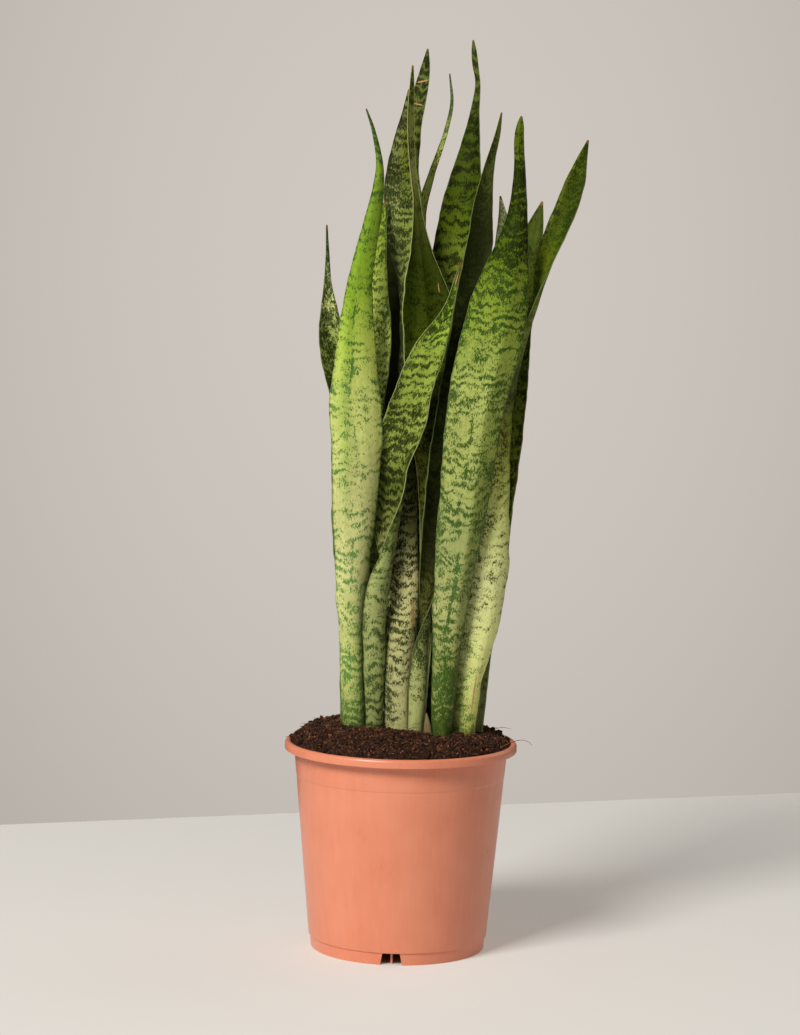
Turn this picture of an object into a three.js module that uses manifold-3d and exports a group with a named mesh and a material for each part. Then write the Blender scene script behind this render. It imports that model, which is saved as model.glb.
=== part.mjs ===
// Potted snake plant: a bunch of stiff banded leaves in a round nursery pot.
// Millimetres, +Z up, the front is -Y. The origin is the middle of the foot plane.
import * as THREE from 'three';
import { mergeVertices } from 'three/addons/utils/BufferGeometryUtils.js';
import Module from 'manifold-3d';

const wasm = await Module();
wasm.setup();

// ---- pot: injection-moulded, folded rim, raised floor ----
const rimRadius = 105;
const rimTop = 188.2;
const rimLip = 7.8;              // how far the folded rim hangs down
const rimFoldOuter = 4.4;        // from the rim's edge in to the hollow inside the fold
const rimFoldInner = 6;          // from the rim's edge in to where the wall begins
const wallTopRadius = 96.4;
const wallFootRadius = 80.9;
const wallThickness = 1.8;
const footHeight = 11.2;
const footRadius = 78.7;
const footThickness = 1.9;
const floorThickness = 2;
const floorFillet = 1.6;
const ridgeHeight = 157;         // faint stacking ridge around the wall
const ridgeDepth = 0.5;
const potSegments = 48;
const hubRadius = 14;            // flat pad under the middle of the floor, level with the foot
const hubSegments = 24;
const joinDepth = 0.5;           // how far the pad and the ribs run into the floor
const ribCount = 6;
const ribThickness = 1.8;
const drainHoles = 6;
const drainHoleRadius = 6;
const drainCircle = 56;
const drainSegments = 16;
const notchCount = 3;            // gaps in the foot that let water run out
const notchTurn = -93.8;         // degrees, the front one sits a little left of the middle
const notchWidthBottom = 20;
const notchWidthTop = 15.5;
const notchHeight = 10.6;
const notchDepth = 12;           // how far each gap's cut runs along the radius

// ---- soil: a low mound of peat ----
const soilRimHeight = 187.3;     // where it meets the wall
const soilCrown = 201.5;         // middle of the mound
const soilRings = [15, 30, 44, 57, 68, 78, 86, 92, 96, 98.6];
const soilShape = 8;             // how late the mound falls away to the wall
const soilTilt = -0.026;         // the mound is a little higher on the left
const lumpBig = 1.1;
const lumpSmall = 0.8;
const pocketRise = 30;           // the leaves' holes are cut up to this far above the crown
const gap = 0.35;                // clearance between parts that only touch

// ---- leaves ----
// Each row runs across the leaf at one height:
// [height, x, y, width across the margins, wrap in degrees, way the outer face looks in degrees, thickness]
// -90 looks at the front, 90 at the back. The leaf ends underground at its first row.
const leaves = {
  leaf_front_left: [
    [185, -41, -12, 20, 150, -86, 5],
    [205, -42, -13, 21.5, 145, -86, 5],
    [280, -46, -16, 20.5, 130, -83, 4.6],
    [340, -46, -18, 29, 100, -80, 4],
    [400, -44.5, -19, 39, 76, -78, 3.6],
    [460, -43.5, -20, 45.5, 62, -78, 3.2],
    [490, -45.5, -21, 47, 58, -78, 3],
    [530, -46, -22, 38, 56, -80, 2.8],
    [580, -45.5, -23, 26.5, 56, -82, 2.6],
    [620, -41, -25, 18.5, 64, -84, 2.4],
    [660, -33, -25, 14, 80, -86, 2.3],
    [690, -28.5, -25, 8, 100, -88, 2.2],
    [710, -29, -25, 5, 100, -90, 2],
    [735, -34.5, -25, 3, 90, -90, 1.7],
    [753, -41, -26, 1.3, 60, -90, 1],
  ],
  leaf_far_left: [
    [185, -47, 3, 16, 140, 98, 4.6],
    [205, -47, 3, 16.5, 140, 98, 4.6],
    [260, -47, 1, 19.5, 120, 102, 4.2],
    [320, -48, -1, 24.5, 90, 105, 3.8],
    [380, -52, -2, 29, 70, 106, 3.4],
    [440, -53, -3, 30.5, 62, 109, 3],
    [500, -56, -4, 32, 62, 112, 2.8],
    [535, -63, -5, 33.5, 66, 110, 2.6],
    [560, -70, -8, 23, 70, 109, 2.4],
    [580, -72, -9, 14, 76, 107, 2.2],
    [600, -73, -10, 6.4, 90, 107, 2],
    [625, -73.5, -12, 3.2, 80, 108, 1.6],
    [651, -74.5, -14, 1.3, 60, 108, 1],
  ],
  leaf_behind_left: [
    [185, -30, 10, 15, 140, 88, 4.6],
    [205, -30.5, 10, 15.5, 140, 88, 4.6],
    [240, -34, 11, 17, 130, 84, 4.4],
    [300, -36.5, 11, 25, 104, 78, 4],
    [380, -37.5, 11, 34, 76, 75, 3.4],
    [440, -38.5, 11, 35, 66, 72, 3.1],
    [500, -35.5, 10, 35, 60, 71, 2.9],
    [545, -31, 10, 35, 58, 71, 2.7],
    [580, -32, 9, 31.5, 58, 71, 2.5],
    [610, -31, 9, 24.5, 60, 71, 2.3],
    [640, -28, 8, 15, 70, 70, 2.1],
    [660, -25.5, 9, 7.4, 80, 70, 1.8],
    [674, -23.5, 9, 1.4, 60, 70, 1],
  ],
  leaf_front_channel: [
    [185, -24, -23, 14, 150, -90, 4.6],
    [205, -24, -23, 14.5, 150, -90, 4.6],
    [260, -25, -24, 18, 150, -88, 4.2],
    [300, -24.5, -25, 20.5, 150, -74, 3.8],
    [320, -21.5, -27, 21.5, 165, -56, 3.6],
    [340, -17.5, -24.5, 23, 185, -30, 3.4],
    [360, -14, -17.5, 23.5, 196, 4, 3.2],
    [380, -13.5, -12.5, 28, 186, 28, 3],
    [400, -13, -8.5, 35.5, 160, 44, 2.9],
    [420, -12, -7.5, 40, 132, 52, 2.8],
    [440, -11, -8.5, 42, 108, 57, 2.8],
    [480, 0, -13.5, 40, 78, 72, 2.8],
    [500, 4, -18.5, 35, 70, 78, 2.7],
    [530, 13.5, -24, 32, 62, 84, 2.5],
    [550, 21, -26, 26.5, 60, 87, 2.3],
    [570, 30.5, -27, 14.5, 66, 90, 2.1],
    [585, 36, -28, 7.5, 80, 90, 1.9],
    [604, 41, -28.5, 4, 80, 90, 1.6],
    [620, 45, -29, 1.4, 60, 90, 1],
  ],
  leaf_front_mottled: [
    [185, -3, -26, 20, 140, -92, 5],
    [205, -3.5, -25, 21, 135, -92, 5],
    [250, -4.5, -21, 23.5, 120, -92, 4.6],
    [300, -1.5, -13, 27, 100, -90, 4.2],
    [340, -0.5, -6, 26, 90, -88, 3.6],
    [380, 0, 2, 22, 84, -88, 3.4],
    [420, -0.5, 8, 20, 76, -88, 3.2],
    [480, 2, 11, 22, 66, -96, 3],
    [560, 3, 13, 22.5, 60, -100, 2.8],
    [605, 0.5, 13, 24, 58, -104, 2.7],
    [640, -6, 13, 34, 54, -105, 2.6],
    [675, -8, 13, 35, 52, -105, 2.5],
    [705, -9, 12, 28, 56, -105, 2.4],
    [730, -8, 11, 18.5, 64, -106, 2.2],
    [750, -6, 11, 9.4, 80, -106, 2],
    [773, -4, 11, 1.4, 60, -106, 1],
  ],
  leaf_middle_spike: [
    [185, 14, 2, 13, 140, 90, 4.4],
    [205, 14.5, 2, 13.5, 140, 90, 4.4],
    [300, 20, 3, 14, 120, 90, 4],
    [340, 21.5, 3, 14, 110, 90, 3.8],
    [400, 20.5, 0.5, 16, 96, 90, 3.2],
    [440, 19, -1, 21, 84, 94, 3],
    [500, 17, 0, 36.5, 74, 100, 3],
    [550, 17, 0, 45.5, 72, 100, 2.8],
    [578, 16.5, 0, 47.5, 72, 101, 2.7],
    [600, 13.5, 0, 37.5, 76, 101, 2.6],
    [625, 10, -1, 23, 84, 101, 2.5],
    [650, 7, -1, 12.5, 100, 101, 2.4],
    [675, 4.5, -2, 6.7, 110, 101, 2.3],
    [710, 0, -3, 6.3, 100, 101, 2.2],
    [750, -2, -4, 6.5, 90, 102, 2],
    [775, -1.5, -5, 4.5, 80, 102, 1.7],
    [793, -1, -5, 1.3, 60, 102, 1],
  ],
  leaf_back_left: [
    [185, -7, 28, 15, 140, 90, 4.6],
    [205, -7, 28, 16, 140, 90, 4.6],
    [300, -9, 32, 22.5, 110, 78, 4],
    [400, -11, 36, 32.5, 76, 68, 3.4],
    [500, -13, 38, 39, 62, 68, 3],
    [580, -13, 41, 39, 58, 67, 2.8],
    [650, -9, 42, 36, 56, 67, 2.6],
    [700, -5, 43, 26, 60, 65, 2.4],
    [740, 1, 45, 17.5, 66, 62, 2.2],
    [775, 7.5, 46, 14, 70, 62, 2.1],
    [795, 11, 48, 9.2, 80, 62, 1.9],
    [812, 12.5, 49, 1.6, 60, 62, 1],
  ],
  leaf_back_thin: [
    [185, 10, 43, 13, 140, 80, 4.4],
    [205, 10, 43, 13.5, 140, 80, 4.4],
    [300, 10, 47, 19.5, 110, 74, 3.8],
    [420, 9, 49, 28.5, 76, 66, 3.2],
    [540, 7, 52, 29, 62, 64, 2.8],
    [620, 6, 56, 21.5, 66, 65, 2.5],
    [670, 10.5, 56, 10, 84, 66, 2.3],
    [700, 18.5, 57, 6.4, 90, 67, 2.1],
    [740, 31, 59, 4.1, 90, 67, 1.8],
    [765, 35.5, 60, 3, 80, 66, 1.5],
    [791, 33, 62, 1.2, 60, 66, 1],
  ],
  leaf_tallest: [
    [185, 24, 20, 15, 140, 90, 4.8],
    [205, 24, 20, 16, 140, 90, 4.8],
    [300, 26, 22, 24.5, 110, 78, 4.2],
    [400, 29, 24, 36.5, 76, 68, 3.6],
    [500, 33, 25, 45.5, 62, 68, 3.2],
    [600, 41, 27, 50, 56, 67, 3],
    [640, 45, 28, 46.5, 54, 67, 2.9],
    [680, 47.5, 27, 36, 56, 67, 2.7],
    [720, 52.5, 28, 21, 64, 66, 2.5],
    [750, 55.5, 28, 9.9, 84, 66, 2.3],
    [780, 58, 29, 4.6, 90, 66, 2],
    [798, 55.5, 29, 5.6, 80, 66, 1.7],
    [810, 54, 29.5, 4.6, 70, 66, 1.4],
    [819, 53, 30, 1.5, 60, 66, 1],
  ],
  leaf_twisted: [
    [185, 13, -30, 12, 150, -92, 4.6],
    [205, 13, -30, 12.5, 150, -90, 4.6],
    [240, 15, -28, 15.5, 145, -78, 4.4],
    [260, 17, -26, 17, 140, -55, 4.2],
    [280, 18.5, -22.5, 18.5, 135, -25, 4],
    [300, 20.5, -18.5, 19, 130, 8, 3.8],
    [320, 23, -15.5, 20, 116, 38, 3.4],
    [350, 26, -12, 23, 100, 66, 3.4],
    [400, 32, -10, 30, 84, 84, 3.2],
    [460, 39, -10, 34, 70, 90, 3],
    [540, 50, -9, 32, 62, 92, 2.8],
    [600, 57, -7, 28, 60, 94, 2.6],
    [640, 61.5, -5, 22.5, 62, 95, 2.5],
    [680, 64.5, -5, 15, 72, 95, 2.3],
    [710, 69.5, -6, 8, 84, 95, 2.1],
    [735, 75.5, -6, 4.4, 84, 95, 1.8],
    [753, 78.5, -7, 1.3, 60, 95, 1],
  ],
  leaf_back_right: [
    [185, 50, 24, 14, 140, 88, 4.6],
    [205, 50, 24, 15, 140, 88, 4.6],
    [300, 56, 30, 22.5, 100, 104, 4],
    [400, 66, 35, 30.5, 72, 114, 3.4],
    [500, 76, 40, 34, 60, 115, 3],
    [580, 82, 43, 30, 58, 115, 2.7],
    [630, 84, 46, 19, 62, 116, 2.4],
    [660, 83.5, 49, 10, 76, 116, 2.1],
    [681, 81, 50, 1.6, 60, 116, 1],
  ],
  leaf_front_right: [
    [185, 36, -41, 16.5, 170, -90, 6.4],
    [205, 36, -42, 17, 168, -90, 6.4],
    [240, 37, -42, 20, 156, -91, 6],
    [280, 39, -41, 24.5, 140, -92, 5.4],
    [320, 41.5, -40, 30, 124, -94, 4.8],
    [360, 45.5, -39, 37, 106, -96, 4.3],
    [400, 50, -38, 42.5, 92, -98, 4],
    [440, 54, -38, 46.5, 84, -99, 3.7],
    [480, 58, -38, 49.5, 76, -99, 3.4],
    [520, 65, -38, 54, 70, -98, 3.2],
    [555, 73, -39, 55.5, 66, -97, 3],
    [590, 79, -40, 49.5, 64, -96, 2.9],
    [620, 85, -40, 36, 66, -95, 2.8],
    [650, 91, -41, 22, 76, -94, 2.6],
    [675, 94, -41, 13, 96, -92, 2.5],
    [705, 94, -43, 8.4, 110, -90, 2.3],
    [730, 93, -45, 7.2, 100, -90, 2],
    [741, 93.8, -45.5, 5.4, 84, -90, 1.5],
    [748, 94.5, -46, 1.8, 60, -90, 1],
  ],
  leaf_right_dark: [
    [185, 66, -8, 14, 150, 82, 4.8],
    [205, 66.5, -8, 15, 150, 82, 4.8],
    [300, 73, -3, 22, 112, 76, 4.2],
    [400, 82, 4, 33.5, 80, 70, 3.6],
    [500, 90.5, 7, 36.5, 66, 71, 3.2],
    [560, 95, 10, 32.5, 60, 72, 2.9],
    [600, 102, 11, 30.5, 58, 71, 2.7],
    [635, 107, 13, 23.5, 60, 71, 2.5],
    [655, 112, 15, 15, 68, 70, 2.2],
    [676, 117.5, 16, 1.6, 60, 70, 1],
  ],
  leaf_far_right: [
    [185, 55.5, -25, 19.5, 156, -90, 5.4],
    [205, 56, -25.5, 20, 152, -89, 5.4],
    [250, 60.5, -25, 24.5, 136, -86, 5],
    [300, 69, -23, 36, 104, -82, 4.4],
    [350, 76, -21, 38, 88, -76, 4],
    [400, 77, -19.5, 38, 78, -68, 3.6],
    [450, 79.5, -18.5, 36, 70, -58, 3.3],
    [500, 86, -18.5, 34, 64, -44, 3],
    [545, 99, -20, 30, 60, -26, 2.9],
    [580, 111, -21, 27, 58, -4, 2.8],
    [610, 118, -22, 26, 56, 22, 2.7],
    [640, 126, -23, 25, 54, 46, 2.6],
    [670, 137.5, -27, 22.5, 56, 66, 2.4],
    [695, 144.5, -30, 17, 62, 80, 2.2],
    [712, 149, -31, 9.5, 72, 84, 2],
    [729, 154, -33, 1.5, 60, 86, 1],
  ],
  dry_sheath: [
    [188, 23, -44, 8, 110, -120, 1.6],
    [205, 22.8, -44.5, 7.6, 110, -120, 1.5],
    [212, 22.6, -44.5, 5.4, 100, -120, 1.3],
    [220, 22.2, -44.5, 1.2, 60, -120, 0.9],
  ],
};
const darkLeaves = [
  'leaf_middle_spike',
  'leaf_back_left',
  'leaf_back_thin',
  'leaf_tallest',
  'leaf_back_right',
  'leaf_right_dark',
];
const ringSpacing = 34;          // most height between two rings of a leaf
const ringTurn = 12;             // most turn, in degrees, between two rings
const marginThickness = 0.3;     // share of the thickness left at the margins
const outerSteps = [-1, -0.68, -0.34, 0, 0.34, 0.68, 1];
const innerSteps = [1, 0.5, 0, -0.5, -1];

const colours = {
  pot: '#d97f60',
  soil: '#35241b',
  leaf: '#7d9a43',
  leafDark: '#44601f',
  sheath: '#7a6a3c',
};

function material(name, colour, roughness) {
  const made = new THREE.MeshStandardMaterial({ color: colour, roughness, metalness: 0 });
  made.name = name;
  return made;
}

const potPlastic = material('terracotta_plastic', colours.pot, 0.42);
const soilMatter = material('potting_soil', colours.soil, 0.95);
const leafGreen = material('leaf_pale_green', colours.leaf, 0.42);
const leafShade = material('leaf_dark_green', colours.leafDark, 0.42);
const sheathMatter = material('dry_sheath', colours.sheath, 0.8);

// ---- solids ----
// A closed geometry as a solid: its corners are merged, and the flat slivers left at a pole are dropped.
function toSolid(geometry) {
  geometry.deleteAttribute('normal');
  geometry.deleteAttribute('uv');
  const merged = mergeVertices(geometry);
  const corners = merged.index.array;
  const triangles = [];
  for (let i = 0; i < corners.length; i += 3) {
    const [a, b, c] = [corners[i], corners[i + 1], corners[i + 2]];
    if (a !== b && b !== c && c !== a) triangles.push(a, b, c);
  }
  return new wasm.Manifold(new wasm.Mesh({
    numProp: 3,
    vertProperties: new Float32Array(merged.getAttribute('position').array),
    triVerts: new Uint32Array(triangles),
  }));
}

function toMesh(solid, name, matter) {
  const made = solid.getMesh();
  const geometry = new THREE.BufferGeometry();
  geometry.setAttribute('position', new THREE.BufferAttribute(new Float32Array(made.vertProperties), 3));
  geometry.setIndex(new THREE.BufferAttribute(new Uint32Array(made.triVerts), 1));
  geometry.computeVertexNormals();
  const mesh = new THREE.Mesh(geometry, matter);
  mesh.name = name;
  return mesh;
}

// Stacks rings of equal length into a closed solid; every ring runs counter-clockwise seen from above.
function loft(rings) {
  const count = rings[0].length;
  const positions = [];
  const triangles = [];
  for (const ring of rings) {
    for (const point of ring) positions.push(...point);
  }
  for (let row = 0; row + 1 < rings.length; row += 1) {
    for (let i = 0; i < count; i += 1) {
      const a = row * count + i;
      const b = row * count + ((i + 1) % count);
      const c = a + count;
      const d = b + count;
      triangles.push(a, b, d, a, d, c);
    }
  }
  const caps = [[rings[0], 0, true], [rings[rings.length - 1], (rings.length - 1) * count, false]];
  for (const [ring, first, facesDown] of caps) {
    const outline = ring.map((point) => new THREE.Vector2(point[0], point[1]));
    for (const [a, b, c] of THREE.ShapeUtils.triangulateShape(outline, [])) {
      if (facesDown) triangles.push(first + a, first + c, first + b);
      else triangles.push(first + a, first + b, first + c);
    }
  }
  const geometry = new THREE.BufferGeometry();
  geometry.setAttribute('position', new THREE.Float32BufferAttribute(positions, 3));
  geometry.setIndex(triangles);
  return toSolid(geometry);
}

// A profile of [radius, height] points turned about Z; it starts and ends on the axis.
function turned(profile) {
  const points = profile.map(([radius, height]) => new THREE.Vector2(radius, height));
  return new THREE.LatheGeometry(points, potSegments).rotateX(Math.PI / 2);
}

// An upright cylinder standing on the height low.
function post(radius, height, low, segments) {
  const cylinder = new THREE.CylinderGeometry(radius, radius, height, segments);
  return cylinder.rotateX(Math.PI / 2).translate(0, 0, low + height / 2);
}

// ---- pot ----
function wallRadius(height) {
  const share = (height - footHeight) / (rimTop - rimLip - footHeight);
  return wallFootRadius + share * (wallTopRadius - wallFootRadius);
}

function innerRadius(height) {
  return wallRadius(height) - wallThickness;
}

function makePotShell() {
  const floorTop = footHeight + floorThickness;
  const lipLow = rimTop - rimLip;
  return toSolid(turned([
    [0, footHeight],
    [footRadius - footThickness - 0.2, footHeight],
    [footRadius - footThickness, 0],
    [footRadius, 0],
    [footRadius + 0.9, footHeight - 0.8],
    [wallFootRadius, footHeight],
    [wallRadius(ridgeHeight) - ridgeDepth, ridgeHeight],
    [wallRadius(ridgeHeight + 1), ridgeHeight + 0.8],
    [wallTopRadius, lipLow - 0.4],
    [rimRadius - rimFoldOuter, rimTop - 3],
    [rimRadius - rimFoldOuter + 0.6, rimTop - 2.2],
    [rimRadius - 2.2, rimTop - 2.6],
    [rimRadius - 1.7, lipLow + 0.2],
    [rimRadius - 0.4, lipLow],
    [rimRadius, lipLow + 0.8],
    [rimRadius, rimTop - 1.8],
    [rimRadius - 0.9, rimTop - 0.4],
    [rimRadius - 2.6, rimTop],
    [rimRadius - 4.2, rimTop],
    [rimRadius - 5.2, rimTop - 0.5],
    [rimRadius - rimFoldInner, rimTop - 2],
    [wallTopRadius - wallThickness, lipLow],
    [innerRadius(floorTop + floorFillet), floorTop + floorFillet],
    [innerRadius(floorTop) - floorFillet, floorTop],
    [0, floorTop],
  ]));
}

// A stiffening web under the floor, from the pad out to the foot.
function makeRib(angle) {
  const overlap = 2;
  const length = footRadius - footThickness + 0.4 - hubRadius + overlap;
  const height = footHeight + joinDepth;
  const web = new THREE.BoxGeometry(length, ribThickness, height);
  return toSolid(web.translate(hubRadius - overlap + length / 2, 0, height / 2).rotateZ(angle));
}

function makeDrainHole(angle) {
  const clearance = 2;
  const hole = post(drainHoleRadius, floorThickness + 2 * clearance, footHeight - clearance, drainSegments);
  return toSolid(hole.translate(drainCircle, 0, 0).rotateZ(angle));
}

function makeNotch(angle) {
  const shape = new THREE.Shape([
    new THREE.Vector2(-notchWidthBottom / 2, -1),
    new THREE.Vector2(notchWidthBottom / 2, -1),
    new THREE.Vector2(notchWidthTop / 2, notchHeight),
    new THREE.Vector2(-notchWidthTop / 2, notchHeight),
  ]);
  const cut = new THREE.ExtrudeGeometry(shape, { depth: notchDepth, bevelEnabled: false });
  const upright = cut.rotateX(Math.PI / 2).rotateZ(Math.PI / 2);
  return toSolid(upright.translate(footRadius - notchDepth / 2, 0, 0).rotateZ(angle));
}

function makePot() {
  const front = THREE.MathUtils.degToRad(notchTurn);
  const sector = (2 * Math.PI) / ribCount;
  let pot = makePotShell().add(toSolid(post(hubRadius, footHeight + joinDepth, 0, hubSegments)));
  for (let i = 0; i < ribCount; i += 1) pot = pot.add(makeRib(front + sector * i));
  for (let i = 0; i < drainHoles; i += 1) {
    pot = pot.subtract(makeDrainHole(front + sector / 2 + (2 * Math.PI * i) / drainHoles));
  }
  for (let i = 0; i < notchCount; i += 1) {
    pot = pot.subtract(makeNotch(front + (2 * Math.PI * i) / notchCount));
  }
  return pot;
}

// ---- leaves ----
// Cubic interpolation down a column of a leaf's rows, so a leaf passes smoothly through each row.
function between(rows, index, share, column) {
  const slope = (i) => {
    const low = rows[Math.max(i - 1, 0)];
    const high = rows[Math.min(i + 1, rows.length - 1)];
    return (high[column] - low[column]) / (high[0] - low[0]);
  };
  const run = rows[index + 1][0] - rows[index][0];
  const s2 = share * share;
  const s3 = s2 * share;
  return (2 * s3 - 3 * s2 + 1) * rows[index][column]
    + (s3 - 2 * s2 + share) * run * slope(index)
    + (3 * s2 - 2 * s3) * rows[index + 1][column]
    + (s3 - s2) * run * slope(index + 1);
}

function leafStations(rows) {
  const stations = [];
  for (let i = 0; i + 1 < rows.length; i += 1) {
    const rise = rows[i + 1][0] - rows[i][0];
    const turned = Math.abs(rows[i + 1][5] - rows[i][5]);
    const parts = Math.ceil(Math.max(rise / ringSpacing, turned / ringTurn));
    for (let part = 0; part < parts; part += 1) {
      const share = part / parts;
      const height = rows[i][0] + share * rise;
      stations.push([height, ...[1, 2, 3, 4, 5, 6].map((column) => between(rows, i, share, column))]);
    }
  }
  stations.push(rows[rows.length - 1]);
  return stations;
}

// A level slice through the leaf: a bent strip, thick along the middle and thin at the margins.
function leafRing([height, x, y, width, wrap, facing, thickness], grow) {
  const half = THREE.MathUtils.degToRad(wrap) / 2;
  const look = THREE.MathUtils.degToRad(facing);
  const radius = width / 2 / Math.sin(half);
  const middle = (radius * Math.sin(half)) / half;
  const cx = x - middle * Math.cos(look);
  const cy = y - middle * Math.sin(look);
  const spread = half + grow / radius;
  const at = (step, side) => {
    const deep = (thickness / 2) * (1 - (1 - marginThickness) * step * step) + grow;
    const angle = look + step * spread;
    const r = radius + side * deep;
    return [cx + r * Math.cos(angle), cy + r * Math.sin(angle), height];
  };
  return [...outerSteps.map((step) => at(step, 1)), ...innerSteps.map((step) => at(step, -1))];
}

function makeLeaf(rows) {
  return loft(leafStations(rows).map((station) => leafRing(station, 0)));
}

// The hole a leaf stands in: its own underground part, a little larger.
function leafPocket(rows) {
  const foot = [rows[0][0] - gap, ...rows[0].slice(1)];
  const above = leafStations(rows).filter((station) => station[0] < soilCrown + pocketRise);
  const stations = [foot, ...above];
  return loft(stations.map((station) => leafRing(station, gap)));
}

// ---- soil ----
function soilSurface(x, y) {
  const edge = soilRings[soilRings.length - 1];
  const share = Math.pow(Math.hypot(x, y) / edge, soilShape);
  const big = lumpBig * Math.sin(x / 9.5 + 0.7) * Math.cos(y / 8.2 - 0.4);
  const small = lumpSmall * Math.sin((x + y) / 5.6 + 1.1);
  const mound = soilCrown - (soilCrown - soilRimHeight) * share;
  return mound + (big + small + soilTilt * x) * (1 - share * 0.8);
}

// Turned to the inside of the pot first; the rings of the flat top are then raised into a lumpy mound.
function makeSoil() {
  const bottom = footHeight + floorThickness + gap;
  const filleted = bottom + floorFillet + 0.4;
  const block = turned([
    [0, bottom],
    [innerRadius(bottom + floorFillet) - 1.2 - gap, bottom],
    [innerRadius(filleted) - gap, filleted],
    [wallTopRadius - wallThickness - gap, rimTop - rimLip + 0.1],
    [rimRadius - rimFoldInner - gap, rimTop - 2],
    ...[...soilRings].reverse().map((radius) => [radius, soilCrown]),
    [0, soilCrown],
  ]);
  const corners = block.getAttribute('position');
  for (let i = 0; i < corners.count; i += 1) {
    if (corners.getZ(i) > rimTop) corners.setZ(i, soilSurface(corners.getX(i), corners.getY(i)));
  }
  let soil = toSolid(block);
  for (const rows of Object.values(leaves)) soil = soil.subtract(leafPocket(rows));
  return soil;
}

// ---- the plant ----
const plant = new THREE.Group();
plant.name = 'potted_snake_plant';
plant.add(toMesh(makePot(), 'pot', potPlastic));
plant.add(toMesh(makeSoil(), 'soil', soilMatter));
for (const [name, rows] of Object.entries(leaves)) {
  let matter = darkLeaves.includes(name) ? leafShade : leafGreen;
  if (name === 'dry_sheath') matter = sheathMatter;
  plant.add(toMesh(makeLeaf(rows), name, matter));
}

export default plant;
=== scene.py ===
import math
from functools import partial

import bmesh
import bpy
import numpy as np
from mathutils import Matrix, Vector


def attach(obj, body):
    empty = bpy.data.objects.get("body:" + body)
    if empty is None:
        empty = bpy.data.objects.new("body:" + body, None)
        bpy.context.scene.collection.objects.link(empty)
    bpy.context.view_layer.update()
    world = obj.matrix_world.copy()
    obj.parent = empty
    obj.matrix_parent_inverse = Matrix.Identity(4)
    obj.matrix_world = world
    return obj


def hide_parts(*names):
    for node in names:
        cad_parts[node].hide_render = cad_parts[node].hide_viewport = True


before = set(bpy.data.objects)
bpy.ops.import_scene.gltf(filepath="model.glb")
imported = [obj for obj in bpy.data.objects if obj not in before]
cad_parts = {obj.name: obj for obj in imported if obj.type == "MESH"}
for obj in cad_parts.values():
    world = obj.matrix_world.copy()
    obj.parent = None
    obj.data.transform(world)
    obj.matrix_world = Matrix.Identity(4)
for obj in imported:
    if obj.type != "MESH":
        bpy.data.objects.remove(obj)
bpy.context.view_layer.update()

mm = 0.001
print("frame loaded:", len(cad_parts), "parts")


def paint(code):
    # "#rrggbb" as seen on screen, turned to the linear colour that shaders use
    parts = [int(code[i:i + 2], 16) / 255 for i in (1, 3, 5)]
    linear = [c / 12.92 if c <= 0.04045 else ((c + 0.055) / 1.055) ** 2.4 for c in parts]
    return (*linear, 1.0)


def addNode(tree, kind, inputs=(), **settings):
    # inputs come by name or in order, and a node among them is linked from its first live output
    made = tree.nodes.new(kind)
    for key, value in settings.items():
        setattr(made, key, value)
    for key, value in (inputs.items() if isinstance(inputs, dict) else enumerate(inputs)):
        if isinstance(value, bpy.types.Node):
            value = next(s for s in value.outputs if s.enabled)
        if isinstance(value, bpy.types.NodeSocket):
            tree.links.new(value, made.inputs[key])
        else:
            made.inputs[key].default_value = value
    return made


def weightedSum(tree, *parts, start=0.0):
    # each value times its weight, all added up
    made = start
    for value, weight in parts:
        made = addNode(tree, "ShaderNodeMath", [value, weight, made], operation="MULTIPLY_ADD")
    return made


def newMaterial(name):
    made = bpy.data.materials.new(name)
    made.use_nodes = True
    made.node_tree.nodes.clear()
    return made, made.node_tree


def fillRamp(node, stops):
    ramp = node.color_ramp
    while len(ramp.elements) > 1:
        ramp.elements.remove(ramp.elements[-1])
    ramp.elements[0].position, ramp.elements[0].color = stops[0]
    for position, colour in stops[1:]:
        ramp.elements.new(position).color = colour
    return node


def newTree(name, inputs):
    # a Geometry Nodes tree with named inputs and one geometry output
    tree = bpy.data.node_groups.new(name, "GeometryNodeTree")
    tree.interface.new_socket(name="Geometry", in_out="OUTPUT", socket_type="NodeSocketGeometry")
    for socket, kind in inputs.items():
        tree.interface.new_socket(name=socket, in_out="INPUT", socket_type="NodeSocket" + kind)
    return tree, addNode(tree, "NodeGroupInput").outputs


def finishTree(tree, geometry, material):
    real = addNode(tree, "GeometryNodeRealizeInstances", [geometry])
    dressed = addNode(tree, "GeometryNodeSetMaterial", {"Geometry": real, "Material": material})
    addNode(tree, "NodeGroupOutput", {"Geometry": dressed})
    return tree


def runTree(host, tree, values):
    # puts the tree on the object, sets its inputs, and keeps the result as a plain mesh
    modifier = host.modifiers.new(tree.name, "NODES")
    modifier.node_group = tree
    sockets = {item.name: item.identifier for item in tree.interface.items_tree if item.in_out == "INPUT"}
    for name, value in values.items():
        modifier[sockets[name]] = value
    bpy.context.view_layer.update()
    depsgraph = bpy.context.evaluated_depsgraph_get()
    made = bpy.data.meshes.new_from_object(host.evaluated_get(depsgraph), preserve_all_data_layers=True,
                                           depsgraph=depsgraph)
    host.modifiers.remove(modifier)
    before = host.data
    host.data = made
    bpy.data.meshes.remove(before)


def placeObject(name, data):
    made = bpy.data.objects.new(name, data)
    bpy.context.scene.collection.objects.link(made)
    return made


def meshObject(name, vertices, faces, edges=()):
    data = bpy.data.meshes.new(name)
    data.from_pydata([tuple(v) for v in vertices], edges, faces)
    return placeObject(name, data)


def smoothShade(data):
    data.polygons.foreach_set("use_smooth", [True] * len(data.polygons))


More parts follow.
